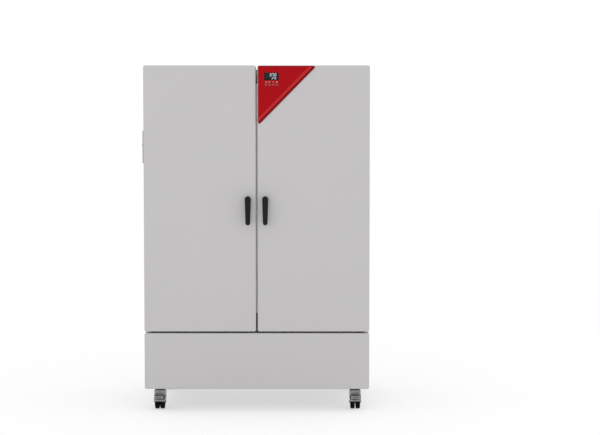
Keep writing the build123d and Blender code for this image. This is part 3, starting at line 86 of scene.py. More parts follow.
class IncubatorColours(PropertyGroup):
    """Colours of the finishes."""

    door_paint: colour_property("Door paint", "Powder coat of the doors and base front", srgb(181, 179, 180))
    casing_paint: colour_property("Casing paint", "Powder coat of the housing", srgb(186, 184, 183))
    stainless: colour_property("Stainless steel", "Chamber, door liners and port", srgb(200, 200, 202))
    zinc: colour_property("Zinc plate", "Brackets and frames", srgb(176, 177, 180))
    fork: colour_property("Castor zinc", "Castor forks, plates and pedals", srgb(146, 144, 144))
    fascia: colour_property("Fascia", "Red control fascia", srgb(157, 4, 15))
    fascia_band: colour_property("Fascia band", "Lighter band along the long side", srgb(172, 40, 44))
    black_plastic: colour_property("Black plastic", "Handles, catches and sockets", srgb(22, 21, 22))
    grey_plastic: colour_property("Grey plastic", "Side control box", srgb(186, 185, 185))
    key: colour_property("Keys", "Rubber keys of the fascia", srgb(150, 62, 62))
    screen: colour_property("Screen", "Black display window", srgb(14, 14, 17))
    screen_glow: colour_property("Screen glow", "Faint light of the display's left part", srgb(30, 46, 44))
    digit: colour_property("Digits", "Lit segments of the display", srgb(214, 216, 226))
    key_sign: colour_property("Key signs", "Print over the keys", srgb(196, 152, 150))
    rubber: colour_property("Seal rubber", "Door gaskets", srgb(212, 211, 212))
    tyre: colour_property("Tyre rubber", "Castor wheels", srgb(10, 9, 10))
    foam: colour_property("Foam", "Insulation", srgb(231, 214, 168))
    # Painted shade: a darker grey laid over the foam's rear edge at the seam.
    seam_shade: colour_property("Seam shade", "Painted shade over the rear edge of the foam", srgb(122, 121, 121))
    copper: colour_property("Copper", "Refrigerant tubes", srgb(190, 118, 84))
    enamel: colour_property("Black enamel", "Compressor and motors", srgb(34, 34, 37))
    silicone: colour_property("Silicone", "Port plug", srgb(222, 217, 206))


class IncubatorSizes(PropertyGroup):
    """Sizes of the pieces made here."""

    handle_crown: length_property("Handle crown", "Depth of the handle's rounded front", 0.0085)
    handle_tip_share: FloatProperty(
        name="Handle tip", description="Width of the tip as a share of the top's", default=0.776,
        min=0.3, max=1,
    )
    handle_thickness: length_property("Handle thickness", "Lever from back to front", 0.022)
    handle_neck: length_property("Handle neck", "Radius of the neck on the door", 0.015)
    handle_cap: length_property("Handle cap", "Radius of the cap over the spindle", 0.0095)
    gasket_width: length_property("Gasket width", "Door gasket across its frame", 0.016)
    seal_width: length_property("Centre seal", "Reach of the seal that meets the other door", 0.0042)
    wheel_gap: length_property("Wheel gap", "Between the two wheels of a castor", 0.0035)
    wheel_hub: length_property("Wheel hub", "Radius of the hub disc", 0.023)
    shelf_rod: length_property("Shelf rod", "Diameter of the shelf's frame", 0.008)
    shelf_wire: length_property("Shelf wire", "Diameter of the wires", 0.004)
    shelf_corner: length_property("Shelf corner", "Radius of the shelf's corners", 0.022)
    shelf_wires: IntProperty(name="Shelf wires", description="Wires from front to back", default=31, min=2)
    screw_rows: IntProperty(name="Screw rows", description="Rear cover screws in a column", default=5, min=2)
    digit_height: length_property("Digit height", "Digits of the measured value", 0.0145)
    digit_small: length_property("Small digit height", "Digits of the set value", 0.0105)
    segment: length_property("Segment", "Stroke of the digits", 0.0019)
    floor_size: length_property("Floor", "Side of the floor", 60.0)


# Node trees
class Value:
    """One socket of a node tree. Arithmetic on it adds Math nodes."""

    def __init__(self, tree, socket):
        self.tree = tree
        self.socket = socket

    def math(self, operation, *others):
        return self.tree.add("ShaderNodeMath", {"operation": operation}, dict(enumerate((self, *others))))

    def __add__(self, other):
        return self.math("ADD", other)

    def __sub__(self, other):
        return self.math("SUBTRACT", other)

    def __mul__(self, other):
        return self.math("MULTIPLY", other)

    def __truediv__(self, other):
        return self.math("DIVIDE", other)

    def __rsub__(self, other):
        return self.tree.add("ShaderNodeMath", {"operation": "SUBTRACT"}, {0: other, 1: self})

    __radd__ = __add__
    __rmul__ = __mul__

    def above(self, edge):
        return self.math("GREATER_THAN", edge)

    def below(self, edge):
        return self.math("LESS_THAN", edge)

    def between(self, low, high):
        return self.above(low) * self.below(high)

    def either(self, other):
        return self.math("MAXIMUM", other)

    def fade(self, low, high):
        """0 at low and 1 at high, with a smooth step between them."""
        settings = {"interpolation_type": "SMOOTHSTEP"}
        limits = {"Value": self, "From Min": low, "From Max": high}
        return self.tree.add("ShaderNodeMapRange", settings, limits)


class Tree:
    """Nodes and links, with one method that adds a node."""

    def __init__(self, tree):
        self.tree = tree
        tree.nodes.clear()

    def add(self, kind, settings=None, inputs=None, output=0):
        """A node with its settings made first, then its sockets filled or linked. Gives one output."""
        node = self.tree.nodes.new(kind)
        for key, value in (settings or {}).items():
            if key == "stops":
                ramp = node.color_ramp
                for place, colour in value[1:-1]:
                    ramp.elements.new(place)
                for element, (place, colour) in zip(ramp.elements, value):
                    element.position = place
                    element.color = (*colour, 1)
            else:
                setattr(node, key, value)
        for key, value in (inputs or {}).items():
            socket = node.inputs[key]
            if isinstance(value, Value):
                self.tree.links.new(value.socket, socket)
            elif socket.type == "RGBA":
                socket.default_value = (*value, 1)
            else:
                socket.default_value = value
        return Value(self, node.outputs[output] if node.outputs else None)


class Finish(Tree):
    """A material whose patterns follow the object's own coordinates."""

    def __init__(self, name):
        self.material = bpy.data.materials.new(name)
        self.material.use_nodes = True
        super().__init__(self.material.node_tree)

    def place(self, stretch=(1, 1, 1)):
        where = self.add("ShaderNodeTexCoord", output=3)
        return self.add("ShaderNodeMapping", {}, {"Vector": where, "Scale": stretch})

    def axes(self):
        """X, Y and Z of the point."""
        split = self.add("ShaderNodeSeparateXYZ", {}, {"Vector": self.add("ShaderNodeTexCoord", output=3)})
        return [Value(self, socket) for socket in split.socket.node.outputs]

    def noise(self, scale, stretch=(1, 1, 1), detail=2.0):
        inputs = {"Vector": self.place(stretch), "Scale": scale, "Detail": detail}
        return self.add("ShaderNodeTexNoise", {}, inputs)

    def cells(self, scale):
        """A flat random shade for each cell."""
        voronoi = self.add("ShaderNodeTexVoronoi", {}, {"Vector": self.place(), "Scale": scale}, "Color")
        return self.add("ShaderNodeSeparateColor", {}, {"Color": voronoi})

    def mix(self, share, first, second):
        return self.add("ShaderNodeMix", {"data_type": "RGBA"}, {0: share, 6: first, 7: second}, 2)

    def shaded(self, colour, amount, pattern):
        """The colour, darker and lighter by an amount where the pattern is low and high."""
        dark = [channel * (1 - amount) for channel in colour]
        light = [min(1, channel * (1 + amount)) for channel in colour]
        return self.mix(pattern, dark, light)

    def surface(self, colour, roughness, bump=None, depth=0.0, **constants):
        inputs = {"Base Color": colour, "Roughness": roughness}
        if bump is not None:
            inputs["Normal"] = self.add("ShaderNodeBump", {}, {"Height": bump, "Distance": depth})
        inputs.update({name.replace("_", " "): value for name, value in constants.items()})
        shader = self.add("ShaderNodeBsdfPrincipled", {}, inputs)
        self.add("ShaderNodeOutputMaterial", {}, {"Surface": shader})
        return self.material


class Geometry(Tree):
    """A Geometry Nodes tree with named inputs."""

    KINDS = {float: "NodeSocketFloat", int: "NodeSocketInt", Vector: "NodeSocketVector"}

    def __init__(self, name, **inputs):
        super().__init__(bpy.data.node_groups.new(name, "GeometryNodeTree"))
        face = self.tree.interface
        face.new_socket("Geometry", in_out="INPUT", socket_type="NodeSocketGeometry")
        for label, kind in inputs.items():
            face.new_socket(label, in_out="INPUT", socket_type=self.KINDS[kind])
        face.new_socket("Geometry", in_out="OUTPUT", socket_type="NodeSocketGeometry")
        self.group_input = self.tree.nodes.new("NodeGroupInput")

    def given(self, label):
        return Value(self, self.group_input.outputs[label])

    def vector(self, x, y, z):
        return self.add("ShaderNodeCombineXYZ", {}, {"X": x, "Y": y, "Z": z})

    def join(self, *pieces):
        node = self.tree.nodes.new("GeometryNodeJoinGeometry")
        for piece in pieces:
            self.tree.links.new(piece.socket, node.inputs[0])
        return Value(self, node.outputs[0])

    def rod(self, curve, radius):
        """A round rod along a curve."""
        ring = self.add("GeometryNodeCurvePrimitiveCircle", {}, {"Resolution": 12, "Radius": radius})
        return self.add(
            "GeometryNodeCurveToMesh", {}, {"Curve": curve, "Profile Curve": ring, "Fill Caps": True}
        )

    def row(self, count, start, step):
        """Points in a straight row."""
        inputs = {"Count": count, "Start Location": start, "Offset": step}
        return self.add("GeometryNodeMeshLine", {}, inputs)

    def repeat(self, points, piece):
        return self.add("GeometryNodeInstanceOnPoints", {}, {"Points": points, "Instance": piece})

    def close(self, geometry, material):
        real = self.add("GeometryNodeRealizeInstances", {}, {"Geometry": geometry})
        painted = self.add("GeometryNodeSetMaterial", {}, {"Geometry": real, "Material": material})
        output = self.tree.nodes.new("NodeGroupOutput")
        self.tree.links.new(painted.socket, output.inputs[0])
        return self.tree


# Finishes
def powder_coat(name, colour):
    """Powder coat with the fine orange peel of sprayed sheet."""
    finish = Finish(name)
    peel = finish.noise(scale=620)
    cloud = finish.noise(scale=2.2)
    paint = finish.shaded(colour, amount=0.018, pattern=cloud)
    return finish.surface(paint, roughness=0.40 + 0.08 * cloud, bump=peel, depth=0.00005)


def brushed_steel(name, colour, stretch=(9, 9, 1500), rough=0.26):
    """Sheet with a grain that runs across it, and faint smudges."""
    finish = Finish(name)
    grain = finish.noise(scale=1, stretch=stretch, detail=3.0)
    smudge = finish.noise(scale=5)
    steel = finish.shaded(colour, amount=0.10, pattern=grain)
    dull = rough + 0.16 * grain + 0.06 * smudge
    return finish.surface(steel, roughness=dull, bump=grain, depth=0.00003, Metallic=1.0)


def zinc_plate(name, colour):
    """Zinc with clouds of a darker, bluer shade."""
    finish = Finish(name)
    cloud = finish.noise(scale=40)
    speck = finish.noise(scale=900)
    bluer = (0.86, 0.88, 0.93)
    plated = finish.mix(cloud, colour, [channel * share for channel, share in zip(colour, bluer)])
    return finish.surface(plated, roughness=0.30 + 0.14 * speck, bump=speck, depth=0.00002, Metallic=1.0)


def galvanised(name, colour):
    """Sheet with the spangle of a hot zinc bath."""
    finish = Finish(name)
    spangle = finish.cells(scale=90)
    sheet = finish.shaded(colour, amount=0.14, pattern=spangle)
    return finish.surface(sheet, roughness=0.36 + 0.16 * spangle, Metallic=1.0)


def moulded_plastic(name, colour, rough=0.42, grain=1400, depth=0.00003, gloss=0.12):
    """Plastic with the fine grain of its mould."""
    finish = Finish(name)
    spark = finish.noise(scale=grain)
    cloud = finish.noise(scale=30)
    shade = finish.shaded(colour, amount=0.06, pattern=cloud)
    dull = rough + 0.10 * spark
    return finish.surface(shade, roughness=dull, bump=spark, depth=depth, Specular_IOR_Level=gloss)


def seal_rubber(name, colour):
    """Matt rubber with a faint bloom."""
    finish = Finish(name)
    bloom = finish.noise(scale=26)
    grain = finish.noise(scale=900)
    shade = finish.shaded(colour, amount=0.09, pattern=bloom)
    return finish.surface(shade, roughness=0.62 + 0.12 * grain, bump=grain, depth=0.00004)


def tyre_rubber(name, colour):
    """Black rubber with floor dust on the tread."""
    finish = Finish(name)
    grain = finish.noise(scale=700)
    dust = finish.noise(scale=160, detail=4.0).fade(low=0.52, high=0.75)
    dust_share, dust_light = 0.35, 5
    worn = finish.mix(dust_share * dust, colour, [channel * dust_light for channel in colour])
    dull = 0.55 + 0.25 * dust
    return finish.surface(worn, roughness=dull, bump=grain, depth=0.00006, Specular_IOR_Level=0.06)


def foam_fill(name, colour, seam_shade, in_seam_shade):
    """Foam, and a painted seam shade of darker grey where the mask says so."""
    finish = Finish(name)
    cell = finish.cells(scale=600)
    foam = finish.shaded(colour, amount=0.08, pattern=cell)
    # Painted shade: the darker grey covers the foam where the mask marks its rear edge.
    shade = finish.mix(in_seam_shade(*finish.axes()), foam, seam_shade)
    return finish.surface(shade, roughness=0.9, bump=cell, depth=0.0002)


def clear_glass(name):
    """Pane that lets most light through, with a faint greenish tint and smudges."""
    finish = Finish(name)
    smudge = finish.noise(scale=7)
    faint_green = srgb(206, 224, 216)
    tint = finish.shaded(faint_green, amount=0.03, pattern=smudge)
    return finish.surface(tint, roughness=0.02 + 0.05 * smudge, Alpha=0.20, IOR=1.5)


def enamel_with_copper(name, enamel, copper, is_copper):
    """Black enamel, and copper where the mask says so."""
    finish = Finish(name)
    mask = is_copper(*finish.axes())
    speck = finish.noise(scale=500)
    paint = finish.mix(mask, enamel, copper)
    return finish.surface(paint, roughness=0.34 + 0.14 * speck, bump=speck, depth=0.00004, Metallic=mask)


def fin_pack(name, fins, other, is_other):
    """Aluminium fins, and another finish where the mask says so."""
    finish = Finish(name)
    mask = is_other(*finish.axes())
    edge = finish.noise(scale=1, stretch=(420, 40, 40), detail=2.0)
    metal = finish.mix(mask, finish.shaded(fins, amount=0.12, pattern=edge), other)
    return finish.surface(metal, roughness=0.38 + 0.12 * edge, bump=edge, depth=0.00004, Metallic=1.0)


def heated_steel(name, colour):
    """Sheath of a heater, tinted by heat."""
    finish = Finish(name)
    tint = finish.noise(scale=24)
    straw, blue = srgb(120, 92, 66), srgb(74, 76, 98)
    stops = [(0.3, colour), (0.5, straw), (0.7, blue)]
    shade = finish.add("ShaderNodeValToRGB", {"stops": stops}, {"Fac": tint})
    return finish.surface(shade, roughness=0.38 + 0.2 * tint, Metallic=1.0)


def fascia_plastic(name, colour, band):
    """Red plastic with a lighter band on the bevel along the long side, and painted shade darkening its outer
    edges, its right tip and its top edge.
    """
    finish = Finish(name)
    x, _, z = finish.axes()
    low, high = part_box("control_fascia")
    across, down = high.x - low.x, high.z - low.z
    band_start, band_end, soft_edge = 0.020, 0.006, 0.002
    tip, rim = 0.016, 0.005
    # Painted shade: a deep red laid over the thin outer edge beyond the band, over the right tip and over the
    # top edge.
    shade_red, shade_share = srgb(60, 8, 12), 0.5
    steep = math.hypot(1 / across, 1 / down)
    reach = (x - low.x) / across + (high.z - z) / down
    outside = reach.fade(1 - band_end * steep, 1 - (band_end - soft_edge) * steep)
    in_band = reach.fade(1 - band_start * steep, 1 - (band_start - soft_edge) * steep) * (1 - outside)
    in_shade = outside.either(x.above(high.x - tip)).either(z.above(high.z - rim))
    grain = finish.noise(scale=900)
    cloud = finish.noise(scale=6)
    red = finish.mix(in_band, finish.shaded(colour, amount=0.05, pattern=cloud), band)
    red = finish.mix(shade_share * in_shade, red, shade_red)
    dull = 0.40 + 0.10 * grain
    return finish.surface(red, roughness=dull, bump=grain, depth=0.00003, Specular_IOR_Level=0.06)


def screen_glass(name, colour, glow):
    """Black window with a faint light in its left part."""
    finish = Finish(name)
    x, _, z = finish.axes()
    low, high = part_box("display_window")
    width, height = high.x - low.x, high.z - low.z
    lit_columns, lit_rows = (0.10, 0.40), (0.2, 0.85)
    lit = ((x - low.x) / width).between(*lit_columns) * ((z - low.z) / height).between(*lit_rows)
    cloud = finish.noise(scale=120)
    light = finish.mix(lit * cloud, BLACK, glow)
    rough = 0.08 + 0.05 * cloud
    return finish.surface(colour, rough, Specular_IOR_Level=0.1, Emission_Color=light, Emission_Strength=1.0)


def lit_digit(name, colour):
    """Display segment that gives a little light."""
    finish = Finish(name)
    glow = finish.noise(scale=300)
    light = finish.shaded(colour, amount=0.05, pattern=glow)
    return finish.surface(light, roughness=0.5, Emission_Color=light, Emission_Strength=0.45)


def socket_with_pins(name, plastic, metal):
    """Black inlet with metal pins inside its recess."""
    finish = Finish(name)
    x, y, z = finish.axes()
    low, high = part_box("power_inlet")
    middle_x = (low.x + high.x) / 2
    middle_z = (low.z + high.z) / 2
    recess_half, recess_down, recess_up = 0.0095, 0.0056, 0.0036
    pin_front, pin_back = 0.0036, 0.0035
    in_width = (x - middle_x).math("ABSOLUTE").below(recess_half)
    recess = in_width * (z - middle_z).between(-recess_down, recess_up)
    pins = recess * y.between(low.y + pin_front, high.y - pin_back)
    grain = finish.noise(scale=1200)
    shade = finish.mix(pins, plastic, metal)
    return finish.surface(shade, roughness=0.36 + 0.1 * grain, bump=grain, depth=0.00003, Metallic=pins)


def dress(material, *names):
    """Gives carried-over nodes a finish."""
    for name in names:
        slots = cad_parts[name].data.materials
        slots.clear()
        slots.append(material)


# Meshes
def new_piece(name, build, *materials):
    """A mesh object built by a function that fills a bmesh, with its faces pointing outwards."""
    form = bmesh.new()
    build(form)
    bmesh.ops.remove_doubles(form, verts=form.verts, dist=MERGE)
    bmesh.ops.recalc_face_normals(form, faces=form.faces)
    mesh = bpy.data.meshes.new(name)
    form.to_mesh(mesh)
    form.free()
    for material in materials:
        mesh.materials.append(material)
    piece = bpy.data.objects.new(name, mesh)
    bpy.context.scene.collection.objects.link(piece)
    return piece


def settle(piece, body, slot, *replaced):
    """Shades a finished piece, ties it to its body and hides the nodes that it stands for. Its slot is not
    used.
    """
    for face in piece.data.polygons:
        face.use_smooth = True
    piece.data.set_sharp_from_angle(angle=CREASE)
    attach(piece, body)
    if replaced:
        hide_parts(*replaced)
    return piece


def skin(form, rings):
    """Faces between closed rings of points, and a cap at each end."""
    rows = [[form.verts.new(point) for point in ring] for ring in rings]
    for near, far in zip(rows, rows[1:]):
        for index in range(len(near)):
            after = (index + 1) % len(near)
            form.faces.new((near[index], near[after], far[after], far[index]))
    for row in (rows[0], rows[-1]):
        form.faces.new(row)


def turned(form, profile, middle, axis, steps=48):
    """A lathe form: pairs of distance along an axis and radius, about a middle point."""
    along = Vector([axis == name for name in "xyz"])
    first = Vector([axis != "x", axis == "x", 0])
    second = along.cross(first)
    rings = []
    for reach, radius in profile:
        radius = max(radius, MERGE * 10)
        ring = []
        for step in range(steps):
            turn = 2 * math.pi * step / steps
            spoke = first * math.cos(turn) + second * math.sin(turn)
            ring.append(middle + along * reach + spoke * radius)
        rings.append(ring)
    skin(form, rings)


def bar(form, low, high):
    """A plain bar between two corners."""
    ring = [(low.x, low.z), (high.x, low.z), (high.x, high.z), (low.x, high.z)]
    skin(form, [[(x, y, z) for x, z in ring] for y in (low.y, high.y)])


def grown(tree, name, mesh, sizes):
    """A plain mesh object made by a Geometry Nodes tree from a starting mesh."""
    piece = bpy.data.objects.new(name, mesh)
    bpy.context.scene.collection.objects.link(piece)
    modifier = piece.modifiers.new(name, "NODES")
    modifier.node_group = tree
    for item in tree.interface.items_tree:
        if item.in_out == "INPUT" and item.name in sizes:
            modifier[item.identifier] = sizes[item.name]
    evaluated = piece.evaluated_get(bpy.context.evaluated_depsgraph_get())
    result = bpy.data.meshes.new_from_object(evaluated)
    piece.modifiers.clear()
    piece.data = result
    return piece


# Pieces
def lever_ring(pivot, tip, top_radius, tip_radius, share, y):
    """Outline round a tapered lever at one depth, with its radii scaled by a share."""
    length = pivot.z - tip.z
    lean = math.asin((top_radius - tip_radius) * share / length)
    ring = []
    steps = 16
    for middle, radius, start in ((pivot, top_radius, -lean), (tip, tip_radius, math.pi + lean)):
        sweep = math.pi + (2 * lean if middle is pivot else -2 * lean)
        for step in range(steps + 1):
            turn = start + sweep * step / steps
            ring.append((
                middle.x + radius * share * math.cos(turn), y, middle.z + radius * share * math.sin(turn),
            ))
    return ring


def build_handle(form, node, sizes):
    """Tapered lever with a crowned front, a neck on the door and a cap over the spindle."""
    low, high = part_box(node)
    top_radius = (high.x - low.x) / 2
    tip_radius = top_radius * sizes.handle_tip_share
    middle_x = (low.x + high.x) / 2
    pivot = Vector((middle_x, 0, high.z - top_radius))
    tip = Vector((middle_x, 0, low.z + tip_radius))
    cap_rise = 0.0006
    front = low.y + cap_rise
    back = low.y + sizes.handle_thickness
    side = front + sizes.handle_crown
    back_round, round_steps = 0.0035, 5
    rings = []
    for step in range(round_steps + 1):
        turn = math.pi / 2 * step / round_steps
        share = 1 - back_round / top_radius * (1 - math.sin(turn))
        rings.append((share, back - back_round * (1 - math.cos(turn))))
    crown_steps, crown_spread, crown_fullness, least_share = 14, 0.8, 2.6, 0.02
    for step in range(1, crown_steps + 1):
        share = math.cos(math.pi / 2 * step / crown_steps) ** crown_spread
        rise = (1 - share**crown_fullness) ** (1 / crown_fullness)
        rings.append((max(share, least_share), side - sizes.handle_crown * rise))
    skin(form, [lever_ring(pivot, tip, top_radius, tip_radius, share, y) for share, y in rings])
    middle = Vector((pivot.x, 0, pivot.z))
    neck = sizes.handle_neck
    waist, collar = neck * 0.88, neck * 0.98
    foot_height, waist_start = 0.002, 0.010
    waist_end, collar_start, collar_sink = 0.006, 0.001, 0.003
    profile = [(high.y, neck), (high.y - foot_height, neck), (high.y - waist_start, waist)]
    profile += [(back + waist_end, waist), (back + collar_start, collar), (back - collar_sink, collar)]
    turned(form, profile, middle, "y")
    cap = sizes.handle_cap
    groove, cap_sink, cap_edge, cap_edge_share = 0.0009, 0.004, 0.0001, 0.93
    disc = [(front + cap_sink, cap), (front + groove, cap)]
    disc += [(low.y + cap_edge, cap * cap_edge_share), (low.y, 0)]
    turned(form, disc, middle, "y")


def gasket_outline():
    """Section of a bellows gasket: across its frame and out from the door, each as a share."""
    bulb = []
    bulb_steps, bulb_half, bulb_middle, bulb_rise = 8, 0.40, 0.74, 0.26
    for step in range(bulb_steps + 1):
        turn = math.pi * step / bulb_steps
        bulb.append((0.5 + bulb_half * math.cos(turn), bulb_middle + bulb_rise * math.sin(turn)))
    foot = [(0.0, 0.0), (1.0, 0.0), (1.0, 0.12), (0.80, 0.20), (0.80, 0.30), (0.97, 0.42), (0.97, 0.50)]
    fold = [(0.03, 0.50), (0.03, 0.42), (0.20, 0.30), (0.20, 0.20), (0.0, 0.12)]
    return foot + [(0.86, 0.58)] + bulb + [(0.14, 0.58)] + fold


def build_gasket(form, node, liner, side, sizes):
    """Three-sided frame gasket with mitred corners, open towards the other door."""
    low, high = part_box(node)
    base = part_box(liner)[1].y
    reach = high.y - base
    outer = max(abs(low.x), abs(high.x))
    inner = min(abs(low.x), abs(high.x)) + sizes.seal_width
    stations = []
    section = [(across * sizes.gasket_width, base + out * reach) for across, out in gasket_outline()]
    for x, z, inward_x, inward_z in (
        (inner, high.z, 0, -1), (outer, high.z, -1, -1), (outer, low.z, -1, 1), (inner, low.z, 0, 1),
    ):
        stations.append([(side * (x + inward_x * u), y, z + inward_z * u) for u, y in section])
    skin(form, stations)


def build_centre_seal(form, node, side, sizes):
    """Soft strip along the inner edge of the door, with two lips that meet the other door's."""
    low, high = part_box(node)
    near = min(abs(low.x), abs(high.x))
    far = near + sizes.seal_width
    strip_depth, margin = 0.020, 0.055
    y_low, y_high = low.y, low.y + strip_depth
    outline = [(far, y_low), (far, y_high)]
    lip_places, lip_steps = (0.78, 0.25), 6
    lip_reach, lip_half, lip_root = sizes.seal_width * 0.92, 0.0040, 0.0003
    for place in lip_places:
        centre = y_low + (y_high - y_low) * place
        for step in range(lip_steps + 1):
            turn = math.pi * step / lip_steps
            out = lip_reach * math.sin(turn)
            outline.append((far - lip_root - out, centre + lip_half * math.cos(turn)))
    rings = [[(side * x, y, z) for x, y in outline] for z in (low.z + margin, high.z - margin)]
    skin(form, rings)


def wheel_profile(start, end, radius, hub):
    """One castor wheel from its inner to its outer face: distance along the axle and radius."""
    shoulder, corner_steps = 0.005, 5
    taper, lip_drop, web_drop, hub_margin = 0.001, 0.0006, 0.002, 0.003
    inner_web, lip, outer_web = radius * 0.62, radius * 0.80, radius * 0.74
    profile = [(start, AXLE_BORE), (start, inner_web), (start + taper, radius - shoulder)]
    turns = [math.pi / 2 * step / corner_steps for step in range(corner_steps + 1)]
    for turn in turns[1:]:
        across = shoulder * (1 - math.cos(turn))
        profile.append((start + taper + across, radius - shoulder + shoulder * math.sin(turn)))
    for turn in reversed(turns):
        across = shoulder * (1 - math.cos(turn))
        profile.append((end - taper - across, radius - shoulder + shoulder * math.sin(turn)))
    profile += [(end - lip_drop, lip), (end - web_drop, outer_web), (end - web_drop, hub + hub_margin)]
    return profile


def build_wheels(form, node, sizes):
    """Twin wheels: rubber tyres on hubs with a dished disc."""
    low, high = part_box(node)
    middle = (low + high) / 2
    radius = (high.z - low.z) / 2
    half = (high.x - low.x) / 2
    start = sizes.wheel_gap / 2
    hub = sizes.wheel_hub
    # Depth below the outer face, and radius: the rim of the dish, its floor and the axle's head.
    dish = [(0.0012, hub + 0.001), (0.0012, hub - 0.001), (0.006, hub - 0.003), (0.007, 0.012)]
    axle_head = [(0.003, 0.0105), (0.003, 0.0062), (0.005, 0.0058), (0.005, AXLE_BORE)]
    disc = [(half - depth, size) for depth, size in dish + axle_head]
    tyre = wheel_profile(start, half, radius, hub)
    for side in (-1, 1):
        outline = [(side * reach, size) for reach, size in tyre + disc]
        rows = skin_open(form, outline, middle, steps=56)
        for row, faces in enumerate(rows):
            for face in faces:
                face.material_index = 0 if row < len(tyre) - 1 else 1
    sleeve_end, sleeve_radius = start + 0.001, 0.008
    sleeve = [(-sleeve_end, AXLE_BORE), (-sleeve_end, sleeve_radius)]
    sleeve += [(sleeve_end, sleeve_radius), (sleeve_end, AXLE_BORE)]
    skin_open(form, sleeve, middle, steps=32, material=1)


def skin_open(form, profile, middle, steps, material=0):
    """A closed tube turned about X from a profile whose last point joins its first."""
    rings = []
    for reach, radius in profile:
        ring = []
        for step in range(steps):
            turn = 2 * math.pi * step / steps
            ring.append(middle + Vector((reach, radius * math.cos(turn), radius * math.sin(turn))))
        rings.append([form.verts.new(point) for point in ring])
    rows = []
    for index, near in enumerate(rings):
        far = rings[(index + 1) % len(rings)]
        faces = []
        for step in range(steps):
            after = (step + 1) % steps
            faces.append(form.faces.new((near[step], near[after], far[after], far[step])))
            faces[-1].material_index = material
        rows.append(faces)
    return rows


SEGMENTS = {
    "0": "abcdef", "1": "bc", "2": "abged", "3": "abgcd", "4": "fgbc",
    "5": "afgcd", "6": "afgedc", "7": "abc", "8": "abcdefg", "9": "gfabcd",
}


def build_number(form, text, right, bottom, front, height, stroke):
    """Seven-segment figures that end at a right edge."""
    width = height * 0.52
    gap, joint = stroke * 1.3, stroke * 0.12
    thickness = 0.00012
    lean = 0.08
    x = right
    for figure in reversed(text):
        if figure == ".":
            x -= stroke
            low = Vector((x, front - thickness, bottom))
            bar(form, low, low + Vector((stroke, thickness, stroke)))
            x -= gap * 0.5
            continue
        x -= width
        half = height / 2
        ends = {
            "a": ((0, height), (width, height)), "g": ((0, half), (width, half)), "d": ((0, 0), (width, 0)),
            "f": ((0, half), (0, height)), "b": ((width, half), (width, height)),
            "e": ((0, 0), (0, half)), "c": ((width, 0), (width, half)),
        }
        for name in SEGMENTS[figure]:
            start, end = (Vector(point) for point in ends[name])
            run = (end - start).normalized()
            across = Vector((-run.y, run.x)) * stroke / 2
            start, end = start + run * joint, end - run * joint
            outline = [start, start + run * stroke / 2 + across, end - run * stroke / 2 + across, end]
            outline += [end - run * stroke / 2 - across, start + run * stroke / 2 - across]
            ring = [(x + p.x + lean * p.y, bottom + p.y) for p in outline]
            skin(form, [[(px, y, pz) for px, pz in ring] for y in (front, front - thickness)])
        x -= gap + stroke


def build_marks(form, front):
    """Plain signs over the keys: two arrows, a dash and a dot."""
    below_screen, size, thickness = 0.0085, 0.0042, 0.00015
    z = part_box("display_window")[0].z - below_screen
    centres = [(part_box(f"key_{number}")[0].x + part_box(f"key_{number}")[1].x) / 2 for number in range(1, 5)]
    for centre, flip in zip(centres[:2], (-1, 1)):
        ring = [(centre + flip * size, z), (centre - flip * size, z + size), (centre - flip * size, z - size)]
        skin(form, [[(x, y, pz) for x, pz in ring] for y in (front, front - thickness)])
    bar(form, Vector((centres[2] - size, front - thickness, z - size / 3)),
        Vector((centres[2] + size, front, z + size / 3)))
    middle = Vector((centres[3], front - thickness, z))
    dot = size * 0.9
    turned(form, [(0, dot), (thickness, dot)], middle, "y", steps=24)


def build_screw(form, radius, height):
    """Pan head with a hexagon socket, centred on the origin and facing plus Y."""
    steps = 24
    pan = [(1.0, 0.0), (1.0, 0.35), (0.93, 0.62), (0.80, 0.84), (0.62, 0.96), (0.50, 1.0)]
    socket = [(0.46, 1.0), (0.44, 0.3)]
    rings = [(share, rise, False) for share, rise in pan] + [(share, rise, True) for share, rise in socket]
    rows = []
    for share, rise, hexagon in rings:
        ring = []
        for step in range(steps):
            turn = 2 * math.pi * step / steps
            size = radius * share
            if hexagon:
                size *= math.cos(math.pi / 6) / math.cos((turn + math.pi / 6) % (math.pi / 3) - math.pi / 6)
            ring.append((size * math.cos(turn), height * rise, size * math.sin(turn)))
        rows.append(ring)
    skin(form, rows)


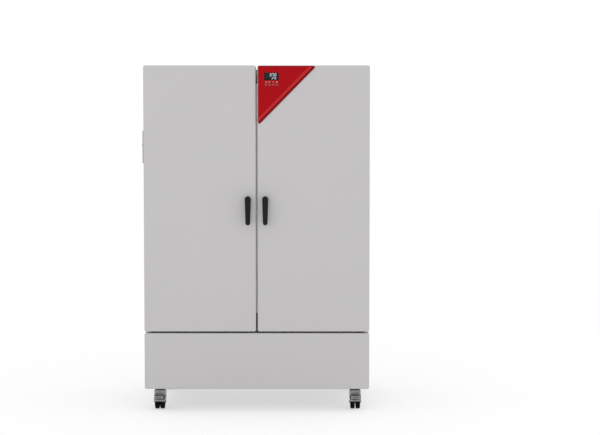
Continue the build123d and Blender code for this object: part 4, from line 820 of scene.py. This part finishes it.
def shelf_tree(material):
    """Wire shelf: a rod frame with rounded corners, cross rods and wires from front to back."""
    sizes = dict(width=float, depth=float, corner=float, rod=float, wire=float, wires=int, middle=Vector)
    tree = Geometry("wire_shelf", **sizes)
    width, depth = tree.given("width"), tree.given("depth")
    rod, wire = tree.given("rod"), tree.given("wire")
    middle_line = {"Width": width - rod, "Height": depth - rod}
    outline = tree.add("GeometryNodeCurvePrimitiveQuadrilateral", {}, middle_line)
    outline = tree.add(
        "GeometryNodeFilletCurve", {"mode": "POLY"},
        {"Curve": outline, "Radius": tree.given("corner"), "Count": 8, "Limit Radius": True},
    )
    rim = tree.rod(outline, rod / 2)
    half_x, half_y = (width - rod) / 2, (depth - rod) / 2
    cross_ends = {"Start": tree.vector(0 - half_x, 0.0, 0.0), "End": tree.vector(half_x, 0.0, 0.0)}
    cross = tree.rod(tree.add("GeometryNodeCurvePrimitiveLine", {}, cross_ends), rod / 2)
    cross_start = tree.vector(0.0, depth / -6, 0.0)
    crosses = tree.repeat(tree.row(2, cross_start, tree.vector(0.0, depth / 3, 0.0)), cross)
    wire_ends = {"Start": tree.vector(0.0, 0 - half_y, 0.0), "End": tree.vector(0.0, half_y, 0.0)}
    strand = tree.rod(tree.add("GeometryNodeCurvePrimitiveLine", {}, wire_ends), wire / 2)
    count = tree.given("wires")
    pitch = width / (count + 1)
    start = tree.vector(width / -2 + pitch, 0.0, rod / 2 - wire / 4)
    strands = tree.repeat(tree.row(count, start, tree.vector(pitch, 0.0, 0.0)), strand)
    whole = tree.join(rim, crosses, strands)
    moved = tree.add("GeometryNodeTransform", {}, {"Geometry": whole, "Translation": tree.given("middle")})
    return tree.close(moved, material)


def screw_tree(material):
    """Two columns of screws, each a copy of the starting mesh."""
    tree = Geometry("cover_screw_columns", rows=int, spread=float, rise=float, start=Vector)
    rows, rise = tree.given("rows"), tree.given("rise")
    step = tree.vector(0.0, 0.0, rise / (rows - 1))
    left = tree.row(rows, tree.given("start"), step)
    shift = tree.vector(tree.given("spread"), 0.0, 0.0)
    right = tree.add("GeometryNodeTransform", {}, {"Geometry": left, "Translation": shift})
    return tree.close(tree.repeat(tree.join(left, right), tree.given("Geometry")), material)


# Operators
def colours():
    return bpy.context.scene.incubator_colours


def sizes():
    return bpy.context.scene.incubator_sizes


class INCUBATOR_OT_housing(Operator):
    """Finish the housing, its frame and the fittings on its walls"""

    bl_idname = "incubator.housing"
    bl_label = "Housing"

    def execute(self, context):
        shades = colours()
        dress(powder_coat("casing_powder_coat", shades.casing_paint), "outer_casing", "rear_cover")
        # Painted shade along the last strip of the foam's rear edge, at the seam.
        seam_shade_depth = 0.002
        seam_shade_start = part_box("insulation_foam")[1].y - seam_shade_depth
        foam = foam_fill("foam_fill", shades.foam, shades.seam_shade, lambda x, y, z: y.above(seam_shade_start))
        dress(foam, "insulation_foam", "left_door_foam", "right_door_foam")
        dress(galvanised("galvanised_sheet", shades.zinc), "base_frame")
        dress(zinc_plate("bracket_steel", shades.zinc), "hinge_brackets", "glass_door_pivots")
        dress(moulded_plastic("catch_plastic", shades.black_plastic), "door_catches", "main_switch")
        dress(moulded_plastic("control_box_plastic", shades.grey_plastic, rough=0.5), "side_control_box")
        dress(socket_with_pins("inlet_plastic", shades.black_plastic, shades.stainless), "power_inlet")
        dress(brushed_steel("port_steel", shades.stainless, stretch=(900, 9, 9)), "access_port")
        dress(seal_rubber("silicone_rubber", shades.silicone), "port_plug")
        return {"FINISHED"}


class INCUBATOR_OT_doors(Operator):
    """Finish the outer doors, the base front and the inner glass doors"""

    bl_idname = "incubator.doors"
    bl_label = "Doors"

    def execute(self, context):
        shades = colours()
        paint = powder_coat("door_powder_coat", shades.door_paint)
        dress(paint, "left_door_skin", "right_door_skin", "base_front_panel")
        liner = brushed_steel("door_liner_steel", shades.stainless, stretch=(1500, 9, 9))
        dress(liner, "left_door_liner", "right_door_liner")
        lock = zinc_plate("lock_steel", shades.zinc)
        glass = clear_glass("pane_glass")
        clamp = moulded_plastic("clamp_plastic", shades.black_plastic)
        for side in DOORS:
            dress(lock, f"{side}_lock_pinion", f"{side}_lock_rod")
            dress(glass, f"{side}_glass_door")
            dress(clamp, f"{side}_glass_fittings")
        return {"FINISHED"}


class INCUBATOR_OT_chamber(Operator):
    """Finish the chamber and the machinery behind it and below it"""

    bl_idname = "incubator.chamber"
    bl_label = "Chamber and machinery"

    def execute(self, context):
        shades = colours()
        dress(brushed_steel("chamber_steel", shades.stainless), "chamber_liner", "air_baffle")
        fins_half, fins_bottom = 0.3505, 0.72
        evaporator = fin_pack(
            "evaporator_fins", shades.stainless, shades.copper,
            lambda x, y, z: (1 - x.between(-fins_half, fins_half)).either(z.below(fins_bottom)),
        )
        dress(evaporator, "evaporator_coil")
        shroud_front = 0.2755
        condenser = fin_pack(
            "condenser_fins", shades.stainless, shades.enamel, lambda x, y, z: y.above(shroud_front)
        )
        dress(condenser, "condenser")
        can_end = -0.198
        compressor = enamel_with_copper(
            "compressor_enamel", shades.enamel, shades.copper, lambda x, y, z: x.above(can_end)
        )
        dress(compressor, "compressor")
        dress(zinc_plate("motor_plate", shades.zinc), "fan_motor")
        dress(heated_steel("heater_sheath", shades.zinc), "heater_coil")
        fan = moulded_plastic("fan_plastic", shades.enamel, rough=0.5)
        dress(fan, "circulation_fan", "condenser_fan")
        return {"FINISHED"}


class INCUBATOR_OT_gaskets(Operator):
    """Make the door gaskets and the seals between the doors"""

    bl_idname = "incubator.gaskets"
    bl_label = "Door gaskets"

    def execute(self, context):
        rubber = seal_rubber("gasket_rubber", colours().rubber)
        for side, sign in (("left", -1), ("right", 1)):
            node = f"{side}_door_gasket"
            frame_gasket = new_piece(
                f"{side}_bellows_gasket",
                lambda form: build_gasket(form, node, f"{side}_door_liner", sign, sizes()), rubber,
            )
            settle(frame_gasket, f"{side}_door", "gasket_rubber", node)
            seal = new_piece(
                f"{side}_centre_seal", lambda form: build_centre_seal(form, node, sign, sizes()), rubber
            )
            settle(seal, f"{side}_door", "gasket_rubber")
        return {"FINISHED"}


class INCUBATOR_OT_handles(Operator):
    """Make the two door handles"""

    bl_idname = "incubator.handles"
    bl_label = "Door handles"

    def execute(self, context):
        plastic = moulded_plastic("handle_plastic", colours().black_plastic, rough=0.36)
        for side in DOORS:
            node = f"{side}_handle"
            lever = new_piece(f"{side}_lever", lambda form: build_handle(form, node, sizes()), plastic)
            settle(lever, node, "black_plastic", node)
        return {"FINISHED"}


class INCUBATOR_OT_fascia(Operator):
    """Finish the control fascia, light its display and print the signs over its keys"""

    bl_idname = "incubator.fascia"
    bl_label = "Control fascia"

    def execute(self, context):
        shades = colours()
        dress(fascia_plastic("fascia_red", shades.fascia, shades.fascia_band), "control_fascia")
        dress(screen_glass("screen_glass", shades.screen, shades.screen_glow), "display_window")
        keys = moulded_plastic("key_plastic", shades.key, rough=0.5)
        dress(keys, *[f"key_{number}" for number in range(1, 5)])
        low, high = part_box("display_window")
        lit = lit_digit("lit_segments", shades.digit)
        right_margin, measured_rise, set_drop = 0.015, 0.0015, 0.0040
        right = high.x - right_margin
        middle = (low.z + high.z) / 2
        height, small, stroke = sizes().digit_height, sizes().digit_small, sizes().segment
        thin_stroke = stroke * 0.7
        digits = new_piece(
            "display_digits",
            lambda form: (
                build_number(form, "37.0", right, middle + measured_rise, low.y, height, stroke),
                build_number(form, "37.0", right, middle - set_drop - small, low.y, small, thin_stroke),
            ),
            lit,
        )
        settle(digits, "right_door", "display_black")
        marks = new_piece(
            "key_signs", lambda form: build_marks(form, low.y),
            moulded_plastic("sign_print", shades.key_sign, rough=0.5),
        )
        settle(marks, "right_door", "key_plastic")
        return {"FINISHED"}


class INCUBATOR_OT_shelves(Operator):
    """Make the wire shelves"""

    bl_idname = "incubator.shelves"
    bl_label = "Wire shelves"

    def execute(self, context):
        steel = brushed_steel("shelf_wire_steel", colours().stainless, stretch=(60, 60, 60), rough=0.16)
        tree = shelf_tree(steel)
        for node in ("lower_shelf", "upper_shelf"):
            low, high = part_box(node)
            rod = sizes().shelf_rod
            given = {
                "width": high.x - low.x, "depth": high.y - low.y, "corner": sizes().shelf_corner,
                "rod": rod, "wire": sizes().shelf_wire, "wires": sizes().shelf_wires,
                "middle": Vector(((low.x + high.x) / 2, (low.y + high.y) / 2, low.z + rod / 2)),
            }
            shelf = grown(tree, f"{node}_wires", bpy.data.meshes.new(node), given)
            settle(shelf, node, "shelf_chrome", node)
        return {"FINISHED"}


class INCUBATOR_OT_screws(Operator):
    """Make the screws of the rear cover"""

    bl_idname = "incubator.screws"
    bl_label = "Cover screws"

    def execute(self, context):
        low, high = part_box("cover_screws")
        height = high.y - low.y
        radius = 0.0045
        head = new_piece("screw_head", lambda form: build_screw(form, radius, height))
        tree = screw_tree(zinc_plate("screw_steel", colours().zinc))
        given = {
            "rows": sizes().screw_rows, "spread": high.x - low.x - 2 * radius,
            "rise": high.z - low.z - 2 * radius, "start": Vector((low.x + radius, low.y, low.z + radius)),
        }
        screws = grown(tree, "socket_head_screws", head.data, given)
        bpy.data.objects.remove(head)
        settle(screws, "cabinet", "bright_steel", "cover_screws")
        return {"FINISHED"}


class INCUBATOR_OT_castors(Operator):
    """Make the castor wheels, and finish the forks, plates and brake pedals"""

    bl_idname = "incubator.castors"
    bl_label = "Castors"

    def execute(self, context):
        shades = colours()
        steel = zinc_plate("fork_steel", shades.fork)
        dress(steel, "castor_plates", "left_front_brake_pedal", "right_front_brake_pedal")
        tyre = tyre_rubber("castor_tyre", shades.tyre)
        hub = moulded_plastic("hub_plastic", shades.enamel, rough=0.45)
        for castor in CASTORS:
            node = f"{castor}_wheels"
            dress(steel, f"{castor}_fork")
            pair = new_piece(
                f"{castor}_twin_wheels", lambda form: build_wheels(form, node, sizes()), tyre, hub
            )
            settle(pair, node, "tyre_rubber", node)
        return {"FINISHED"}


class INCUBATOR_OT_stage(Operator):
    """Set up the floor, the lamps and the camera"""

    bl_idname = "incubator.stage"
    bl_label = "Stage"

    def execute(self, context):
        scene = context.scene
        scene.view_settings.view_transform = "Standard"
        half = sizes().floor_size / 2
        corners = [(-half, -half), (half, -half), (half, half), (-half, half)]
        floor = new_piece("studio_floor", lambda form: form.faces.new(
            [form.verts.new((x, y, 0)) for x, y in corners]
        ), floor_finish())
        world = bpy.data.worlds.new("studio")
        scene.world = world
        world.use_nodes = True
        studio_light(Tree(world.node_tree))
        add_lamp("front_softbox", place=(-0.9, -5.6, 2.0), aim=(0.0, 0.0, 0.5), size=4.2, watts=34)
        add_lamp("side_softbox", place=(5.2, -3.6, 1.8), aim=(0.2, 0.0, 0.7), size=3.0, watts=14)
        camera = bpy.data.cameras.new("front_camera")
        camera.lens = 81.4
        camera.sensor_width = 36
        camera.clip_end = 100
        view = bpy.data.objects.new("front_camera", camera)
        scene.collection.objects.link(view)
        place = (0.2396, -7.945, 1.4408)
        pitch = math.radians(2.705)
        view.matrix_world = Matrix.Translation(place) @ Matrix.Rotation(math.pi / 2 - pitch, 4, "X")
        scene.camera = view
        return {"FINISHED"}


def seen_rays(tree):
    """1 for the camera's own rays and for those that a gloss or a pane sends on."""
    names = ("Is Camera Ray", "Is Glossy Ray", "Is Transmission Ray")
    camera, glossy, transmission = (tree.add("ShaderNodeLightPath", output=name) for name in names)
    return camera.either(glossy).either(transmission)


def floor_finish():
    """White floor that keeps the shadow: part of what the camera sees is plain white."""
    finish = Finish("floor_white")
    fleck = finish.noise(scale=3)
    off_white = (0.995, 0.995, 0.995)
    white = finish.mix(fleck, off_white, WHITE)
    paper = finish.add("ShaderNodeBsdfDiffuse", {}, {"Color": white})
    plain = finish.add("ShaderNodeEmission", {}, {"Color": WHITE, "Strength": 1.0})
    plain_share = 0.55
    mixed = finish.add("ShaderNodeMixShader", {}, {0: seen_rays(finish) * plain_share, 1: paper, 2: plain})
    finish.add("ShaderNodeOutputMaterial", {}, {"Surface": mixed})
    return finish.material


def studio_light(tree):
    """Even white light from all round."""
    light = tree.add("ShaderNodeBackground", {}, {"Color": WHITE, "Strength": 1.0})
    tree.add("ShaderNodeOutputWorld", {}, {"Surface": light})


def add_lamp(name, place, aim, size, watts):
    """A square softbox that points at a spot."""
    lamp = bpy.data.lights.new(name, "AREA")
    lamp.size = size
    lamp.energy = watts
    holder = bpy.data.objects.new(name, lamp)
    bpy.context.scene.collection.objects.link(holder)
    direction = Vector(aim) - Vector(place)
    turn = direction.to_track_quat("-Z", "Y").to_matrix().to_4x4()
    holder.matrix_world = Matrix.Translation(place) @ turn


OPERATORS = (
    INCUBATOR_OT_stage,
    INCUBATOR_OT_housing,
    INCUBATOR_OT_doors,
    INCUBATOR_OT_chamber,
    INCUBATOR_OT_gaskets,
    INCUBATOR_OT_handles,
    INCUBATOR_OT_fascia,
    INCUBATOR_OT_shelves,
    INCUBATOR_OT_screws,
    INCUBATOR_OT_castors,
)


class INCUBATOR_PT_panel(Panel):
    """Lists the incubator's pieces, sizes and colours"""

    bl_label = "Cooling incubator"
    bl_space_type = "VIEW_3D"
    bl_region_type = "UI"
    bl_category = "Incubator"

    def draw(self, context):
        for operator in OPERATORS:
            self.layout.operator(operator.bl_idname)
        for group in (sizes(), colours()):
            for name in group.__annotations__:
                self.layout.prop(group, name)


CLASSES = (IncubatorColours, IncubatorSizes, *OPERATORS, INCUBATOR_PT_panel)


def register():
    for item in CLASSES:
        bpy.utils.register_class(item)
    bpy.types.Scene.incubator_colours = PointerProperty(type=IncubatorColours)
    bpy.types.Scene.incubator_sizes = PointerProperty(type=IncubatorSizes)


def unregister():
    del bpy.types.Scene.incubator_sizes
    del bpy.types.Scene.incubator_colours
    for item in reversed(CLASSES):
        bpy.utils.unregister_class(item)


def main():
    register()
    for operator in OPERATORS:
        group, name = operator.bl_idname.split(".")
        getattr(getattr(bpy.ops, group), name)()
    bpy.context.view_layer.update()


if __name__ == "__main__":
    main()
